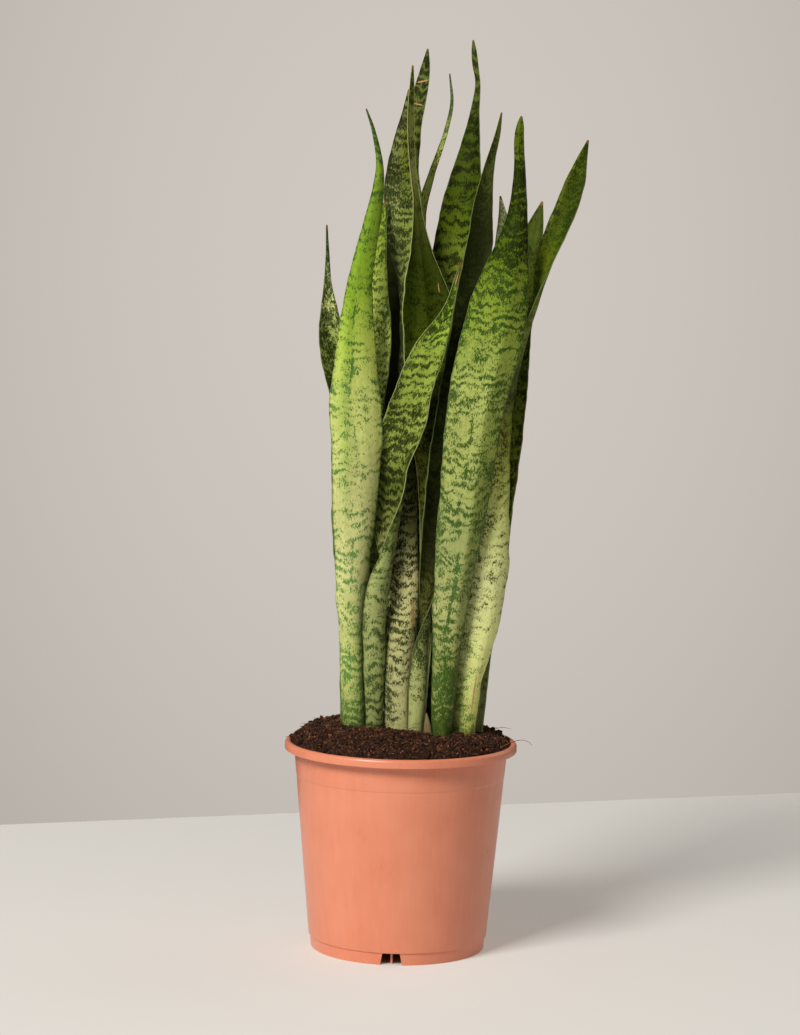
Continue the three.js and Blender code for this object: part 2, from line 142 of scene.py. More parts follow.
def smoothThrough(knots, values, wanted):
    # cubic curve through values[i] at knots[i], read at the wanted places
    knots = np.asarray(knots, float)
    values = np.asarray(values, float)
    wanted = np.asarray(wanted, float)
    gaps = (len(knots),) + (1,) * (values.ndim - 1)
    along = knots.reshape(gaps)
    slopes = np.empty_like(values)
    slopes[1:-1] = (values[2:] - values[:-2]) / (along[2:] - along[:-2])
    slopes[0] = (values[1] - values[0]) / (along[1] - along[0])
    slopes[-1] = (values[-1] - values[-2]) / (along[-1] - along[-2])
    cell = np.clip(np.searchsorted(knots, wanted, side="right") - 1, 0, len(knots) - 2)
    shape = (len(wanted),) + (1,) * (values.ndim - 1)
    run = (knots[cell + 1] - knots[cell]).reshape(shape)
    t = (wanted - knots[cell]).reshape(shape) / run
    return (
        (2 * t**3 - 3 * t**2 + 1) * values[cell]
        + (t**3 - 2 * t**2 + t) * run * slopes[cell]
        + (3 * t**2 - 2 * t**3) * values[cell + 1]
        + (t**3 - t**2) * run * slopes[cell + 1]
    )


# Blade skin: living sansevieria cuticle, grown. A waxy satin skin over pale green,
# with cross bands of dark green that break up into upright flecks.

leafBuild = {
    "rowStep": 2.6,        # mm between rows along a blade
    "acrossCount": 25,     # points over each face
    "edgeRoll": 0.45,      # how far the margin bulges, as a share of its thickness
    "edgeWobble": 0.35,    # mm, nicks and waves in the margin line
    "faceWobble": 0.35,    # mm, slow hills and hollows
    "marginWave": 0.7,     # mm, ripple of the margins in and out
    "waveStart": 215, "waveRise": 30, "tipFade": 14,      # mm, where the waves begin, grow and end
    "creaseStart": 250, "creaseRise": 90,      # mm, where a crease begins and how it grows
    "sideStart": 250, "sideRise": 120, "streakRise": 90,      # mm, the same for the tints
    "marginDusk": 0.10, "duskShift": -0.015,      # more dark at the margins, a little less all over
    "fullWave": 25,        # mm of width from which a blade waves fully
    "apexRise": 0.6,       # mm from the last ring to the point of the tip
    "backPale": 0.6, "backGround": "#8a9858", "backDeep": "#2a3c1c",
}

innerFaceShift = 190      # mm that the inner face's pattern is moved aside, so that the two faces differ
outerSteps = [-1, -0.68, -0.34, 0, 0.34, 0.68, 1]      # where a ring's points lie across each face
innerSteps = [-1, -0.5, 0, 0.5, 1]

# Heights are in mm. ground and deep: the pale and the dark colour up the blade; besides the leaf's own
# colours they hold painted shade where a blade lies in the shadow of the leaves in front of it, and painted
# light where a blade is paler than its own colour, for light falling on it. dusk: how much of the face is
# dark. innerShade: painted shade, what the inner face's colours are multiplied by where it lies in the
# shadow between the leaves; above 1 it is a little painted light. band: mm between cross bands.
# seam: [place, strength] of a line of flecks, lean: more dark to one side, tear: how ragged the bands are.
# side: [from, colour, share] tints one half darker, as painted shade on the half that turns away from the
# key light. streak: [middle, reach, lowest height, colour, share].
# crease: [place, mm it stands out, mm it reaches], tip: mm of dead tip. Places run from -1 to 1.
leafLooks = {
    "leaf_front_left": {
        "slot": "leaf_pale_green", "seed": 1.0, "seam": [-0.16, 0.22], "band": 8.4, "bandPower": 1.3,
        "streak": [-0.5, 0.26, 375, "#769a2a", 0.5], "crease": [-0.5, 1.6, 10], "tip": 4,
        "ground": {190: "#98a05a", 260: "#bec474", 340: "#c6c684", 420: "#bec07a", 500: "#c2ca70",
                   545: "#aaba50", 590: "#88a430", 640: "#708c26", 700: "#6a7e26", 753: "#4c5a20"},
        "deep": {190: "#35551f", 240: "#4d7a36", 340: "#568442", 400: "#427034", 500: "#427034",
                 560: "#365f28", 640: "#305420", 753: "#283c1c"},
        "dusk": {190: 0.66, 215: 0.62, 245: 0.54, 300: 0.48, 360: 0.41, 430: 0.39, 480: 0.4, 560: 0.43,
                 620: 0.41, 680: 0.46, 753: 0.6},
    },
    "leaf_far_left": {
        "slot": "leaf_pale_green", "seed": 2.3, "band": 7.0, "bandPower": 0.3, "crease": [0.15, 1.6, 9],
        "tip": 4,
        "ground": {190: "#8f9a4c", 500: "#8c984a", 540: "#98a652", 580: "#ccd682", 620: "#9ca870",
                   651: "#6f7f3c"},
        "deep": {190: "#1c300a", 651: "#122a05"},
        "dusk": {190: 0.5, 400: 0.5, 480: 0.6, 560: 0.58, 620: 0.64},
    },
    "leaf_behind_left": {
        "slot": "leaf_pale_green", "seed": 3.1, "band": 7.6, "bandPower": 1.3, "tip": 4,
        "ground": {190: "#5f6c30", 380: "#7c883e", 480: "#c0cc68", 540: "#c6d66c", 580: "#aebc58",
                   620: "#8ea03a", 674: "#6e8424"},
        "deep": {190: "#1a280e", 500: "#2a4a18", 600: "#223e12", 674: "#1e320a"},
        "dusk": {190: 0.52, 400: 0.52, 520: 0.52, 600: 0.5, 674: 0.52},
    },
    # painted shade: the dimmer ground and the near-black deep colour from about 370 to 460 mm stand for the
    # shadow of the front left leaf on this one
    "leaf_front_channel": {
        "slot": "leaf_pale_green", "seed": 4.7, "band": 9.0, "bandPower": 1.5, "edgePale": 0.8,
        "crease": [0.1, -1.0, 12], "tip": 8,
        "ground": {190: "#88864c", 260: "#989a62", 310: "#a8a670", 350: "#8e905a", 380: "#74783c",
                   420: "#5e6a2a", 455: "#869242", 540: "#8a9e3e", 585: "#8aa82c", 620: "#6f8a26"},
        "deep": {190: "#323614", 280: "#3a5424", 340: "#3e5628", 370: "#121e08", 420: "#081204",
                 460: "#0c1a04", 540: "#182a0e", 620: "#1a2a09"},
        "dusk": {190: 0.56, 250: 0.5, 330: 0.42, 375: 0.54, 420: 0.6, 470: 0.58, 540: 0.45, 555: 0.58,
                 575: 0.68, 620: 0.72},
    },
    # painted light: the paler ground from about 300 to 345 mm; painted shade: the dark ground and deep
    # colours from about 380 to 520 mm, where it lies behind the front channel leaf
    "leaf_front_mottled": {
        "slot": "leaf_pale_green", "seed": 5.2, "band": 8.6, "bandPower": 1.5, "lean": -0.13,
        "streak": [-0.5, 0.6, 100, "#85865a", 0.55], "tip": 5,
        "ground": {190: "#bebc80", 260: "#bab87e", 300: "#cac684", 345: "#d2cc8e", 380: "#86864e",
                   420: "#434a22", 520: "#3a441c", 590: "#9cb040", 630: "#a8bc50", 670: "#8c9c42",
                   710: "#626f1c", 773: "#44520e"},
        "deep": {190: "#33381a", 250: "#262f12", 330: "#10180a", 420: "#0a1204", 620: "#303c22",
                 665: "#242e18", 700: "#0c1404", 773: "#0f1805"},
        "dusk": {190: 0.44, 240: 0.48, 300: 0.54, 380: 0.58, 560: 0.54, 640: 0.57, 720: 0.6, 773: 0.62},
    },
    # painted shade over its own dark green: darker from about 470 to 660 mm, in the shade of the leaves in
    # front, and its inner face is darkened further
    "leaf_middle_spike": {
        "slot": "leaf_dark_green", "seed": 6.4, "band": 9.0, "bandPower": 0.15, "edgePale": 0.9,
        "crease": [0.05, -2.2, 13], "tip": 5,
        "ground": {190: "#5c6430", 420: "#747c30", 470: "#56641c", 540: "#4c5c14", 585: "#3a480a",
                   620: "#303c08", 660: "#424918", 700: "#5c5f33", 750: "#555a28", 793: "#434b14"},
        "deep": {190: "#1c260a", 480: "#101705", 600: "#121b02", 700: "#1e2706", 793: "#121a02"},
        "dusk": {190: 0.5, 480: 0.5, 580: 0.46, 680: 0.48, 793: 0.5},
        "innerShade": {190: 1.0, 450: 1.0, 490: 0.4, 530: 1.1, 570: 0.75, 640: 0.7, 700: 1.0, 793: 1.0},
    },
    # painted shade: the near-black deep colour and the inner face darkened almost to black from about 480
    # to 640 mm stand for the deep gap behind the front leaves
    "leaf_back_left": {
        "slot": "leaf_dark_green", "seed": 7.7, "band": 10.5, "bandPower": 2.2, "tip": 3,
        "ground": {190: "#3c4a1e", 480: "#4a5824", 600: "#46541f", 660: "#46541f", 700: "#4e5e22",
                   740: "#566224", 790: "#5c6632", 812: "#4b5026"},
        "deep": {190: "#10180a", 600: "#060a02", 812: "#050a02"},
        "dusk": {190: 0.5, 560: 0.5, 640: 0.52, 700: 0.54, 760: 0.56, 812: 0.6},
        "innerShade": {190: 0.3, 480: 0.1, 600: 0.05, 640: 0.08, 690: 0.6, 730: 0.95, 812: 0.9},
    },
    # painted light: the pale ground from about 680 to 715 mm stands for light falling on its side
    "leaf_back_thin": {
        "slot": "leaf_dark_green", "seed": 8.2, "band": 8.0, "bandPower": 0.5, "tip": 3,
        "ground": {190: "#50582a", 600: "#8c9e48", 680: "#ccdc70", 715: "#c0d068", 750: "#7c8c4c",
                   791: "#545e34"},
        "deep": {190: "#16240c", 680: "#26401a", 791: "#1a2a12"},
        "dusk": {190: 0.5, 600: 0.5, 690: 0.42, 740: 0.5, 791: 0.62},
    },
    # painted shade: the near-black deep colour from about 620 to 740 mm and the darker inner face there
    # stand for the shade between the leaves
    "leaf_tallest": {
        "slot": "leaf_dark_green", "seed": 9.5, "band": 11.5, "bandPower": 2.6, "tear": 11.0, "tip": 3,
        "ground": {190: "#4a5a24", 560: "#7e8c34", 615: "#76842c", 655: "#546810", 700: "#3e500a",
                   745: "#3f4f10", 785: "#55612a", 819: "#4a5218"},
        "deep": {190: "#10180a", 620: "#0c1606", 680: "#050802", 740: "#080f02", 819: "#121a06"},
        "dusk": {190: 0.5, 560: 0.5, 640: 0.49, 700: 0.52, 745: 0.6, 790: 0.56, 819: 0.5},
        "innerShade": {190: 1.0, 620: 1.0, 680: 0.75, 745: 0.8, 819: 1.0},
    },
    # painted shade: the near-black ground and deep colours from about 310 to 640 mm, and the darker inner
    # face there, stand for the shadow of the front leaves
    "leaf_twisted": {
        "slot": "leaf_pale_green", "seed": 10.3, "band": 8.0, "bandPower": 0.4, "tip": 6,
        "ground": {190: "#c2bc80", 240: "#bab678", 275: "#98945a", 310: "#5e5e2c", 350: "#363a18",
                   400: "#2a3012", 520: "#333c16", 580: "#2e3612", 640: "#262e0e", 690: "#40461c",
                   753: "#444a1c"},
        "deep": {190: "#424a1a", 240: "#0c1206", 300: "#080d03", 400: "#060a03", 560: "#12180a",
                 753: "#1a220c"},
        "dusk": {190: 0.34, 235: 0.44, 260: 0.54, 300: 0.58, 420: 0.58, 560: 0.6, 690: 0.58, 753: 0.45},
        "innerShade": {190: 1.0, 300: 0.9, 340: 0.6, 380: 0.35, 440: 0.5, 520: 1.0, 580: 1.0, 640: 0.55,
                       690: 0.9, 753: 1.0},
    },
    # painted light: the pale ground from about 620 mm up stands for light reaching it past the leaves in
    # front
    "leaf_back_right": {
        "slot": "leaf_dark_green", "seed": 11.8, "band": 9.0, "bandPower": 0.3, "tip": 4,
        "ground": {190: "#4a5230", 520: "#7a8250", 620: "#c2c888", 681: "#c6ca8c"},
        "deep": {190: "#161f0c", 620: "#4c5e34", 681: "#52643a"},
        "dusk": {190: 0.5, 560: 0.54, 640: 0.5, 681: 0.56},
    },
    # side: painted shade, a darker olive on the half beyond the crease that turns away from the key light
    "leaf_front_right": {
        "slot": "leaf_pale_green", "seed": 12.9, "seam": [0.02, 0.35], "band": 8.6, "bandPower": 1.2,
        "side": [0.4, "#74822e", 0.55], "crease": [0.36, 3.4, 15], "tip": 3,
        "ground": {190: "#8c9048", 260: "#8e9452", 310: "#a4a868", 380: "#8c9458", 440: "#9aa25a",
                   510: "#9aa456", 560: "#84963a", 590: "#74882a", 620: "#587010", 655: "#3c5006",
                   700: "#50600a", 748: "#4a5e0c"},
        "deep": {190: "#2a4114", 260: "#2d4d18", 340: "#2e511f", 420: "#274716", 540: "#1f4014",
                 590: "#18340e", 625: "#0a1805", 700: "#0e1b04", 748: "#122006"},
        "dusk": {190: 0.78, 235: 0.7, 275: 0.62, 310: 0.55, 380: 0.49, 450: 0.49, 540: 0.49, 600: 0.53,
                 635: 0.62, 665: 0.63, 690: 0.7, 712: 0.6, 730: 0.44, 748: 0.48},
    },
    # painted light: the pale ground at the foot, up to about 290 mm; painted shade: the ground darkening
    # from there upward, the near-black deep colour and the darker inner face, where it lies in the shadow
    # of the leaves in front of it
    "leaf_right_dark": {
        "slot": "leaf_dark_green", "seed": 13.4, "band": 8.5, "bandPower": 0.5,
        "crease": [0.0, -1.6, 10], "tip": 5,
        "ground": {190: "#bcc084", 290: "#a0a860", 380: "#86923c", 470: "#76862c", 530: "#5e6e24",
                   620: "#4a5c12", 676: "#415118"},
        "deep": {190: "#4a6428", 300: "#2c400f", 440: "#141e08", 540: "#101a08", 676: "#0a1302"},
        "dusk": {190: 0.36, 300: 0.45, 420: 0.58, 560: 0.52, 640: 0.46, 676: 0.5},
        "innerShade": {190: 1.0, 460: 1.0, 500: 0.8, 580: 0.8, 620: 0.65, 676: 0.6},
    },
    # partly painted light: the very pale ground from about 260 to 425 mm is paler than its own colour, for
    # light reaching it past the front right leaf; side: painted shade on its right edge
    "leaf_far_right": {
        "slot": "leaf_pale_green", "seed": 14.6, "band": 9.2, "bandPower": 0.8, "lean": -0.09,
        "side": [0.7, "#96a03e", 0.3], "tip": 4,
        "ground": {190: "#c8ce64", 260: "#dce08e", 340: "#dade98", 390: "#d2da84", 425: "#c2ca66",
                   465: "#969c3c", 500: "#4c5414", 560: "#7a8620", 625: "#586310", 660: "#404e06",
                   729: "#465608"},
        "deep": {190: "#6c843a", 255: "#4a7a26", 300: "#1c3a0a", 420: "#162e06", 500: "#111c04",
                 600: "#2c4c0c", 660: "#16240a", 729: "#152602"},
        "dusk": {190: 0.56, 225: 0.5, 270: 0.4, 330: 0.42, 400: 0.46, 450: 0.52, 520: 0.58, 620: 0.52,
                 729: 0.58},
    },
}

facesInward = {"leaf_far_left", "leaf_behind_left", "leaf_middle_spike", "leaf_back_left",
               "leaf_back_thin", "leaf_tallest", "leaf_back_right", "leaf_right_dark",
               "leaf_front_channel", "leaf_twisted"}

# old scratches and scars: [height in mm, across from -1 to 1, half height mm, half width mm, slant]
leafMarks = {
    "leaf_back_left": [[783, 0.0, 0.9, 7.5, 0.16], [762, -0.1, 0.7, 6.0, -0.2]],
    "leaf_front_channel": [[606, 0.0, 7.0, 1.0, 0.0]],
    "leaf_front_mottled": [[305, 0.62, 13.0, 1.5, 0.0], [268, 0.70, 16.0, 0.7, 0.0],
                           [225, 0.66, 14.0, 0.7, 0.0]],
    "leaf_far_right": [[236, 0.30, 22.0, 0.8, 0.0], [640, 0.93, 17.0, 0.8, 0.0]],
    "leaf_middle_spike": [[598, -0.62, 5.0, 0.5, 0.0]],
}


def findRings(nodeName):
    # a copy of the part is merged, and its level rings are read again in their order
    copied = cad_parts[nodeName].data.copy()
    work = bmesh.new()
    work.from_mesh(copied)
    bmesh.ops.remove_doubles(work, verts=work.verts, dist=1e-6)
    work.verts.ensure_lookup_table()
    heights = sorted({round(v.co.z / mm, 2) for v in work.verts})
    levels = [heights[0]]
    for height in heights[1:]:
        if height - levels[-1] > 0.2:
            levels.append(height)
    level = {v.index: int(np.argmin([abs(v.co.z / mm - z) for z in levels])) for v in work.verts}
    follow, above = {}, {}
    for face in work.faces:
        corners = [v.index for v in face.verts]
        for turn in range(3):
            a, b, c = corners[turn], corners[(turn + 1) % 3], corners[(turn + 2) % 3]
            if level[a] != level[b]:
                continue
            if level[c] > level[a]:
                follow[a] = b
            elif level[c] < level[a]:
                follow[b] = a
                above[c] = b
    start = next(v.index for v in work.verts if level[v.index] == 0)
    order = [start]
    while follow[order[-1]] != start:
        order.append(follow[order[-1]])
    rings = []
    for _ in levels:
        rings.append([tuple(work.verts[i].co) for i in order])
        order = [above.get(i) for i in order]
    work.free()
    bpy.data.meshes.remove(copied)
    rings = np.array(rings)
    sides = np.linalg.norm(rings - np.roll(rings, -1, axis=1), axis=2).sum(axis=0)
    first = min(range(12), key=lambda s: sides[(s - 1) % 12] + sides[(s + 6) % 12])
    return np.roll(rings, -first, axis=1)


def wobble(where, seed, lengths, weights):
    # a few sine waves that never line up, from -1 to 1
    total = sum(weight * np.sin(2 * np.pi * where / length + seed * (k + 1.7))
                for k, (length, weight) in enumerate(zip(lengths, weights)))
    return total / sum(weights)


def bladeFaces(rings, seed, crease, build):
    # fine outer and inner faces, from the outer face's left margin to its right
    heights = rings[:, 0, 2] / mm
    rows = max(8, int((heights[-1] - heights[0]) / build["rowStep"]))
    fineHeights = np.linspace(heights[0], heights[-1], rows + 1)
    fine = smoothThrough(heights, rings, fineHeights)
    across = np.linspace(-1, 1, build["acrossCount"])
    outer = np.moveaxis(smoothThrough(outerSteps, np.moveaxis(fine[:, 0:7], 1, 0), across), 0, 1)
    backwards = np.moveaxis(fine[:, [11, 10, 9, 8, 7]], 1, 0)
    inner = np.moveaxis(smoothThrough(innerSteps, backwards, across), 0, 1)
    out = outer - inner
    out /= np.linalg.norm(out, axis=2, keepdims=True) + 1e-12
    side = outer[:, -1] - outer[:, 0]
    width = np.linalg.norm(side, axis=1)
    side /= width[:, None] + 1e-12

    # waves over the faces, with none at the soil and the tip
    z, s = fineHeights[:, None], across[None, :]
    share = np.clip(width[:, None] / (build["fullWave"] * mm), 0.12, 1)
    clear = (np.clip((z - build["waveStart"]) / build["waveRise"], 0, 1)
             * np.clip((heights[-1] - z) / build["tipFade"], 0, 1))
    shift = build["faceWobble"] * wobble(z + 23 * s, seed, [97, 61, 38], [1, 0.7, 0.45])
    ripple = wobble(z + 70 * np.sign(s), seed + 2, [74, 41, 29], [1, 0.7, 0.3])
    shift = shift + build["marginWave"] * np.abs(s) ** 3 * ripple
    if crease:
        place, rise, reach = crease
        away = np.abs(s - place) * width[:, None] / mm / 2
        grown = np.clip((z - build["creaseStart"]) / build["creaseRise"], 0, 1)
        shift = shift + rise * np.clip(1 - away / reach, 0, 1) ** 2 * grown / np.maximum(share, 0.3) * share
    shift = (shift * share * clear)[:, :, None] * mm
    jag = wobble(z + 50 * np.sign(s), seed + 5, [31, 17, 9.3], [1, 0.8, 0.5])
    nick = build["edgeWobble"] * np.sign(s) * np.abs(s) ** 8 * jag
    nick = (nick * share * clear)[:, :, None] * mm * side[:, None, :]
    return fineHeights, across, outer + out * shift + nick, inner + out * shift + nick, side


def upBlade(table, heights):
    # a table's colour or number at each height
    stops, values = list(table), list(table.values())
    if isinstance(values[0], str):
        colours = np.array([paint(v) for v in values])
        return np.stack([np.interp(heights, stops, colours[:, k]) for k in range(4)], axis=-1)
    return np.interp(heights, stops, values)


def mixed(colours, share, code):
    return colours * (1 - share[:, None]) + np.array(paint(code)) * share[:, None]


def bladeColours(look, heights, s, inside, seenBack):
    # pale colour, dark colour and share of dark at each point; the colours carry painted light and painted
    # shade from the tables and the tints
    ground, deep = upBlade(look["ground"], heights), upBlade(look["deep"], heights)
    # painted shade: one half is tinted darker, for the half that turns away from the key light
    if "side" in look:
        edge, colour, strength = look["side"]
        grown = np.clip((heights - leafBuild["sideStart"]) / leafBuild["sideRise"], 0, 1)
        past = np.clip((s - edge) * math.copysign(1, edge) / 0.12 + 0.5, 0, 1)
        ground = mixed(ground, past * strength * grown, colour)
    if "streak" in look:
        middle, reach, low, colour, strength = look["streak"]
        grown = np.clip((heights - low) / leafBuild["streakRise"], 0, 1)
        ground = mixed(ground, np.exp(-(((s - middle) / reach) ** 2)) * strength * grown, colour)
    if seenBack:
        # the back is paler and duller than the face
        back = (1 - inside) * leafBuild["backPale"]
        ground = mixed(ground, back, leafBuild["backGround"])
        deep = mixed(deep, back, leafBuild["backDeep"])
    # painted shade: the inner face is darkened where it lies in the shadow between the leaves
    if "innerShade" in look:
        kept = 1 - (inside * (1 - upBlade(look["innerShade"], heights)))[:, None]
        ground[:, :3] *= kept
        deep[:, :3] *= kept
    margin = leafBuild["marginDusk"] * np.clip((np.abs(s) - 0.75) / 0.25, 0, 1)
    dusk = upBlade(look["dusk"], heights) + margin + leafBuild["duskShift"] + look.get("lean", 0) * s
    return ground, deep, dusk


def makeBlade(name, look):
    rings = findRings(name)
    heights, across, outer, inner, side = bladeFaces(rings, look["seed"], look.get("crease"), leafBuild)
    rows, count = outer.shape[:2]

    def margin(end, sign):
        thick = np.linalg.norm(outer[:, end] - inner[:, end], axis=1)[:, None]
        return (outer[:, end] + inner[:, end]) / 2 + sign * side * thick * leafBuild["edgeRoll"]

    loop = np.concatenate([outer, margin(-1, 1)[:, None], inner[:, ::-1], margin(0, -1)[:, None]], axis=1)
    around = loop.shape[1]
    acrossLoop = np.concatenate([across, [1.0], across[::-1], [-1.0]])
    insideLoop = np.concatenate([np.zeros(count), [0.0], np.ones(count), [0.0]])
    foot, apex = loop[0].mean(axis=0), loop[-1].mean(axis=0) + np.array([0, 0, leafBuild["apexRise"] * mm])
    vertices = np.vstack([loop.reshape(-1, 3), foot, apex])
    faces = []
    for low in range(0, (rows - 1) * around, around):
        for i in range(around):
            j = (i + 1) % around
            faces.append((low + i, low + j, low + around + j, low + around + i))
    last = (rows - 1) * around
    for i in range(around):
        j = (i + 1) % around
        faces.append((j, i, len(vertices) - 2))
        faces.append((last + i, last + j, len(vertices) - 1))
    blade = meshObject(name + "_blade", vertices, faces)
    data = blade.data
    smoothShade(data)

    # where each point is: mm across and along the blade
    steps = np.linalg.norm(np.diff(outer.mean(axis=1), axis=0), axis=1) / mm
    along = np.concatenate([[0], np.cumsum(steps)])
    arc = np.linalg.norm(np.diff(outer, axis=1), axis=2).sum(axis=1) / mm
    u = acrossLoop[None, :] * arc[:, None] / 2 + insideLoop[None, :] * innerFaceShift
    v = np.repeat(along[:, None], around, axis=1)
    flat = np.vstack([np.stack([u.ravel(), v.ravel()], axis=1), [0, 0],
                      [0, along[-1] + leafBuild["apexRise"]]])
    corner = np.empty(len(data.loops), int)
    data.loops.foreach_get("vertex_index", corner)
    data.uv_layers.new(name="bladeMm").data.foreach_set("uv", flat[corner].ravel())

    # what the skin reads at each point
    z, s = np.repeat(heights, around), np.tile(acrossLoop, rows)
    ground, deep, dusk = bladeColours(look, z, s, np.tile(insideLoop, rows), name in facesInward)
    dry = np.clip((z - (heights[-1] - look["tip"])) / (0.6 * look["tip"]), 0, 1)
    for key, values in {"dusk": dusk, "dry": dry, "across": s, "ground": ground, "deep": deep}.items():
        kind, slot = ("FLOAT_COLOR", "color") if values.ndim == 2 else ("FLOAT", "value")
        ended = np.concatenate([values, values[:1], values[-1:]])
        data.attributes.new(key, kind, "POINT").data.foreach_set(slot, ended.ravel())
    data.update()
    marks = [(sideways * np.interp(height, heights, arc) / 2 + (name in facesInward) * innerFaceShift,
              np.interp(height, heights, along), *rest)
             for height, sideways, *rest in leafMarks.get(name, [])]
    return blade, marks


skinLook = {
    "marginDark": "#2c4519", "marginPale": "#a3a86a", "deadTip": "#6b4a2c", "scar": "#b98a5c",
    "edgeDark": 0.45, "gloss": (0.42, 0.56), "shine": 0.22, "waxTint": "#e6f08c", "ior": 1.45,
    "veinHeight": 0.35,      # mm
    "archWidth": 13,         # mm across one arch of a band
    # mm across and along a spot of each pattern, and a number that sets it apart from the others
    "fleck": (0.9, 3.4, 2), "hump": (14, 18, 18), "bend": (15, 26, 1), "gather": (18, 15, 20),
    "grit": (0.55, 1.1, 5), "band": (14, 4.2, 3), "patch": (12, 22, 4), "dot": (1.3, 2.1, 14),
    "seam": (400, 60, 15), "seamGap": (400, 22, 16), "fade": (1.6, 4.0, 17), "edge": (3, 14, 8),
    "dead": (1.2, 4, 9), "scarEdge": (1.1, 2.2, 10), "veinTone": (1.1, 60, 6), "stripe": (9, 60, 7),
    "mottle": (3, 5, 19), "vein": (0.9, 90, 11), "swell": (5, 22, 12), "wear": (6, 18, 13),
}


def bladeSkin(name, look, marks):
    # waxy cuticle: IOR of plant wax, satin, with upright veins under half a millimetre high
    made, tree = newMaterial(name)
    node, total = partial(addNode, tree), partial(weightedSum, tree)
    place = node("ShaderNodeSeparateXYZ", [node("ShaderNodeUVMap", uv_map="bladeMm")])
    u, v = place.outputs[0], place.outputs[1]
    read = {key: node("ShaderNodeAttribute", attribute_name=key).outputs
            for key in ("ground", "deep", "dusk", "dry", "across")}
    ground, deep = read["ground"]["Color"], read["deep"]["Color"]
    dusk, dry, across = (read[key]["Fac"] for key in ("dusk", "dry", "across"))

    def patch(kind, detail=2.0, rough=0.5, height=v):
        # smooth noise around zero
        wide, tall, layer = skinLook[kind]
        point = node("ShaderNodeCombineXYZ", [total((u, 1 / wide)), total((height, 1 / tall)),
                                              look["seed"] * 3.7 + layer])
        cloud = node("ShaderNodeTexNoise", {"Vector": point, "Scale": 1.0, "Detail": detail,
                                            "Roughness": rough})
        return total((cloud, 1.0), start=-0.5)

    # bands: the height is bent by slow waves and torn by upright flecks before it is banded
    edgeward = node("ShaderNodeMath", [across], operation="ABSOLUTE")
    fleck, grit = patch("fleck", rough=0.6), patch("grit", 1.0)
    hump = total((u, math.pi / skinLook["archWidth"]), (patch("hump", 1.0), 5.0))
    arch = node("ShaderNodeMath", [node("ShaderNodeMath", [hump], operation="SINE")], operation="ABSOLUTE")
    torn = total((v, 1.0), (patch("bend", 1.0), 20.0), (arch, 2.4), (edgeward, -2.0),
                 (fleck, look.get("tear", 9.0)))
    wave = node("ShaderNodeMath", [total((torn, math.tau / look["band"]))], operation="SINE")
    gather = node("ShaderNodeMapRange", [patch("gather"), -0.16, 0.16, 0.1, 1.7])
    gathered = node("ShaderNodeMath", [wave, gather], operation="MULTIPLY")
    above = total((patch("band", 1.5, height=torn), 0.62), (gathered, 0.07 * look["bandPower"]),
                  (patch("patch"), 0.42), (patch("dot", rough=0.6), 0.75), (grit, 0.32), (fleck, 0.3),
                  (dusk, 0.85), start=-0.425)
    if "seam" in look:
        # flecks gather along a line near the middle of the blade
        seamAt, seamStrength = look["seam"]
        aside = total((across, 1.0), (patch("seam", 1.0), 0.5), start=-seamAt)
        off = node("ShaderNodeMath", [aside], operation="ABSOLUTE")
        near = node("ShaderNodeMapRange", [off, 0.09, 0.01])
        broken = node("ShaderNodeMapRange", [patch("seamGap"), -0.08, 0.14])
        line = node("ShaderNodeMath", [near, broken], operation="MULTIPLY")
        above = total((line, 0.85 * seamStrength), (above, 1.0))
    solid = node("ShaderNodeMapRange", [above, 0.0, 0.08], interpolation_type="SMOOTHSTEP")
    faded = node("ShaderNodeMapRange", [patch("fade", 1.0), -0.2, 0.1, 0.70, 0.95])
    mask = node("ShaderNodeMath", [solid, faded], operation="MULTIPLY")
    halo = node("ShaderNodeMapRange", [total((above, 1.0), (grit, -0.6)), -0.13, 0.06, 0.0, 0.26],
                interpolation_type="SMOOTHSTEP")

    # margin: a broken dark line, then a thin pale horny edge; the tip is dead and brown
    wobbled = total((edgeward, 1.0), (patch("edge", 1.0), 0.05))
    edgeDark = node("ShaderNodeMapRange", [wobbled, 0.945, 0.985, 0.0, skinLook["edgeDark"]])
    edgePale = node("ShaderNodeMapRange", [wobbled, 0.988, 1.0, 0.0, look.get("edgePale", 0.3)])
    ragged = node("ShaderNodeMapRange", [total((dry, 1.0), (patch("dead"), 0.8)), 0.35, 0.75])
    layers = [(halo, deep), (mask, deep), (edgeDark, paint(skinLook["marginDark"])),
              (edgePale, paint(skinLook["marginPale"])), (ragged, paint(skinLook["deadTip"]))]

    for markU, markV, halfTall, halfWide, slant in marks:
        du = total((u, 1 / halfWide), start=-markU / halfWide)
        dv = total((v, 1 / halfTall), (u, slant / halfTall), start=-(markV + markU * slant) / halfTall)
        spot = node("ShaderNodeCombineXYZ", [du, dv, 0.0])
        square = node("ShaderNodeVectorMath", [spot, spot], operation="DOT_PRODUCT").outputs["Value"]
        inside = total((square, 1.0), (patch("scarEdge"), 2.6))
        scarred = node("ShaderNodeMapRange", [inside, 1.1, 0.6, 0.0, 0.85])
        layers.append((scarred, paint(skinLook["scar"])))

    # ground colour with long pale and dark veins, and the layers over it
    tone = total((patch("veinTone"), 0.22), (patch("stripe"), 0.4), (patch("mottle", 3.0), 0.45),
                 (grit, 0.3), start=1.0)
    colour = node("ShaderNodeHueSaturation", {"Value": tone, "Fac": 1.0, "Color": ground})
    for share, tint in layers:
        colour = node("ShaderNodeMix", {0: share, 6: colour, 7: tint}, data_type="RGBA")

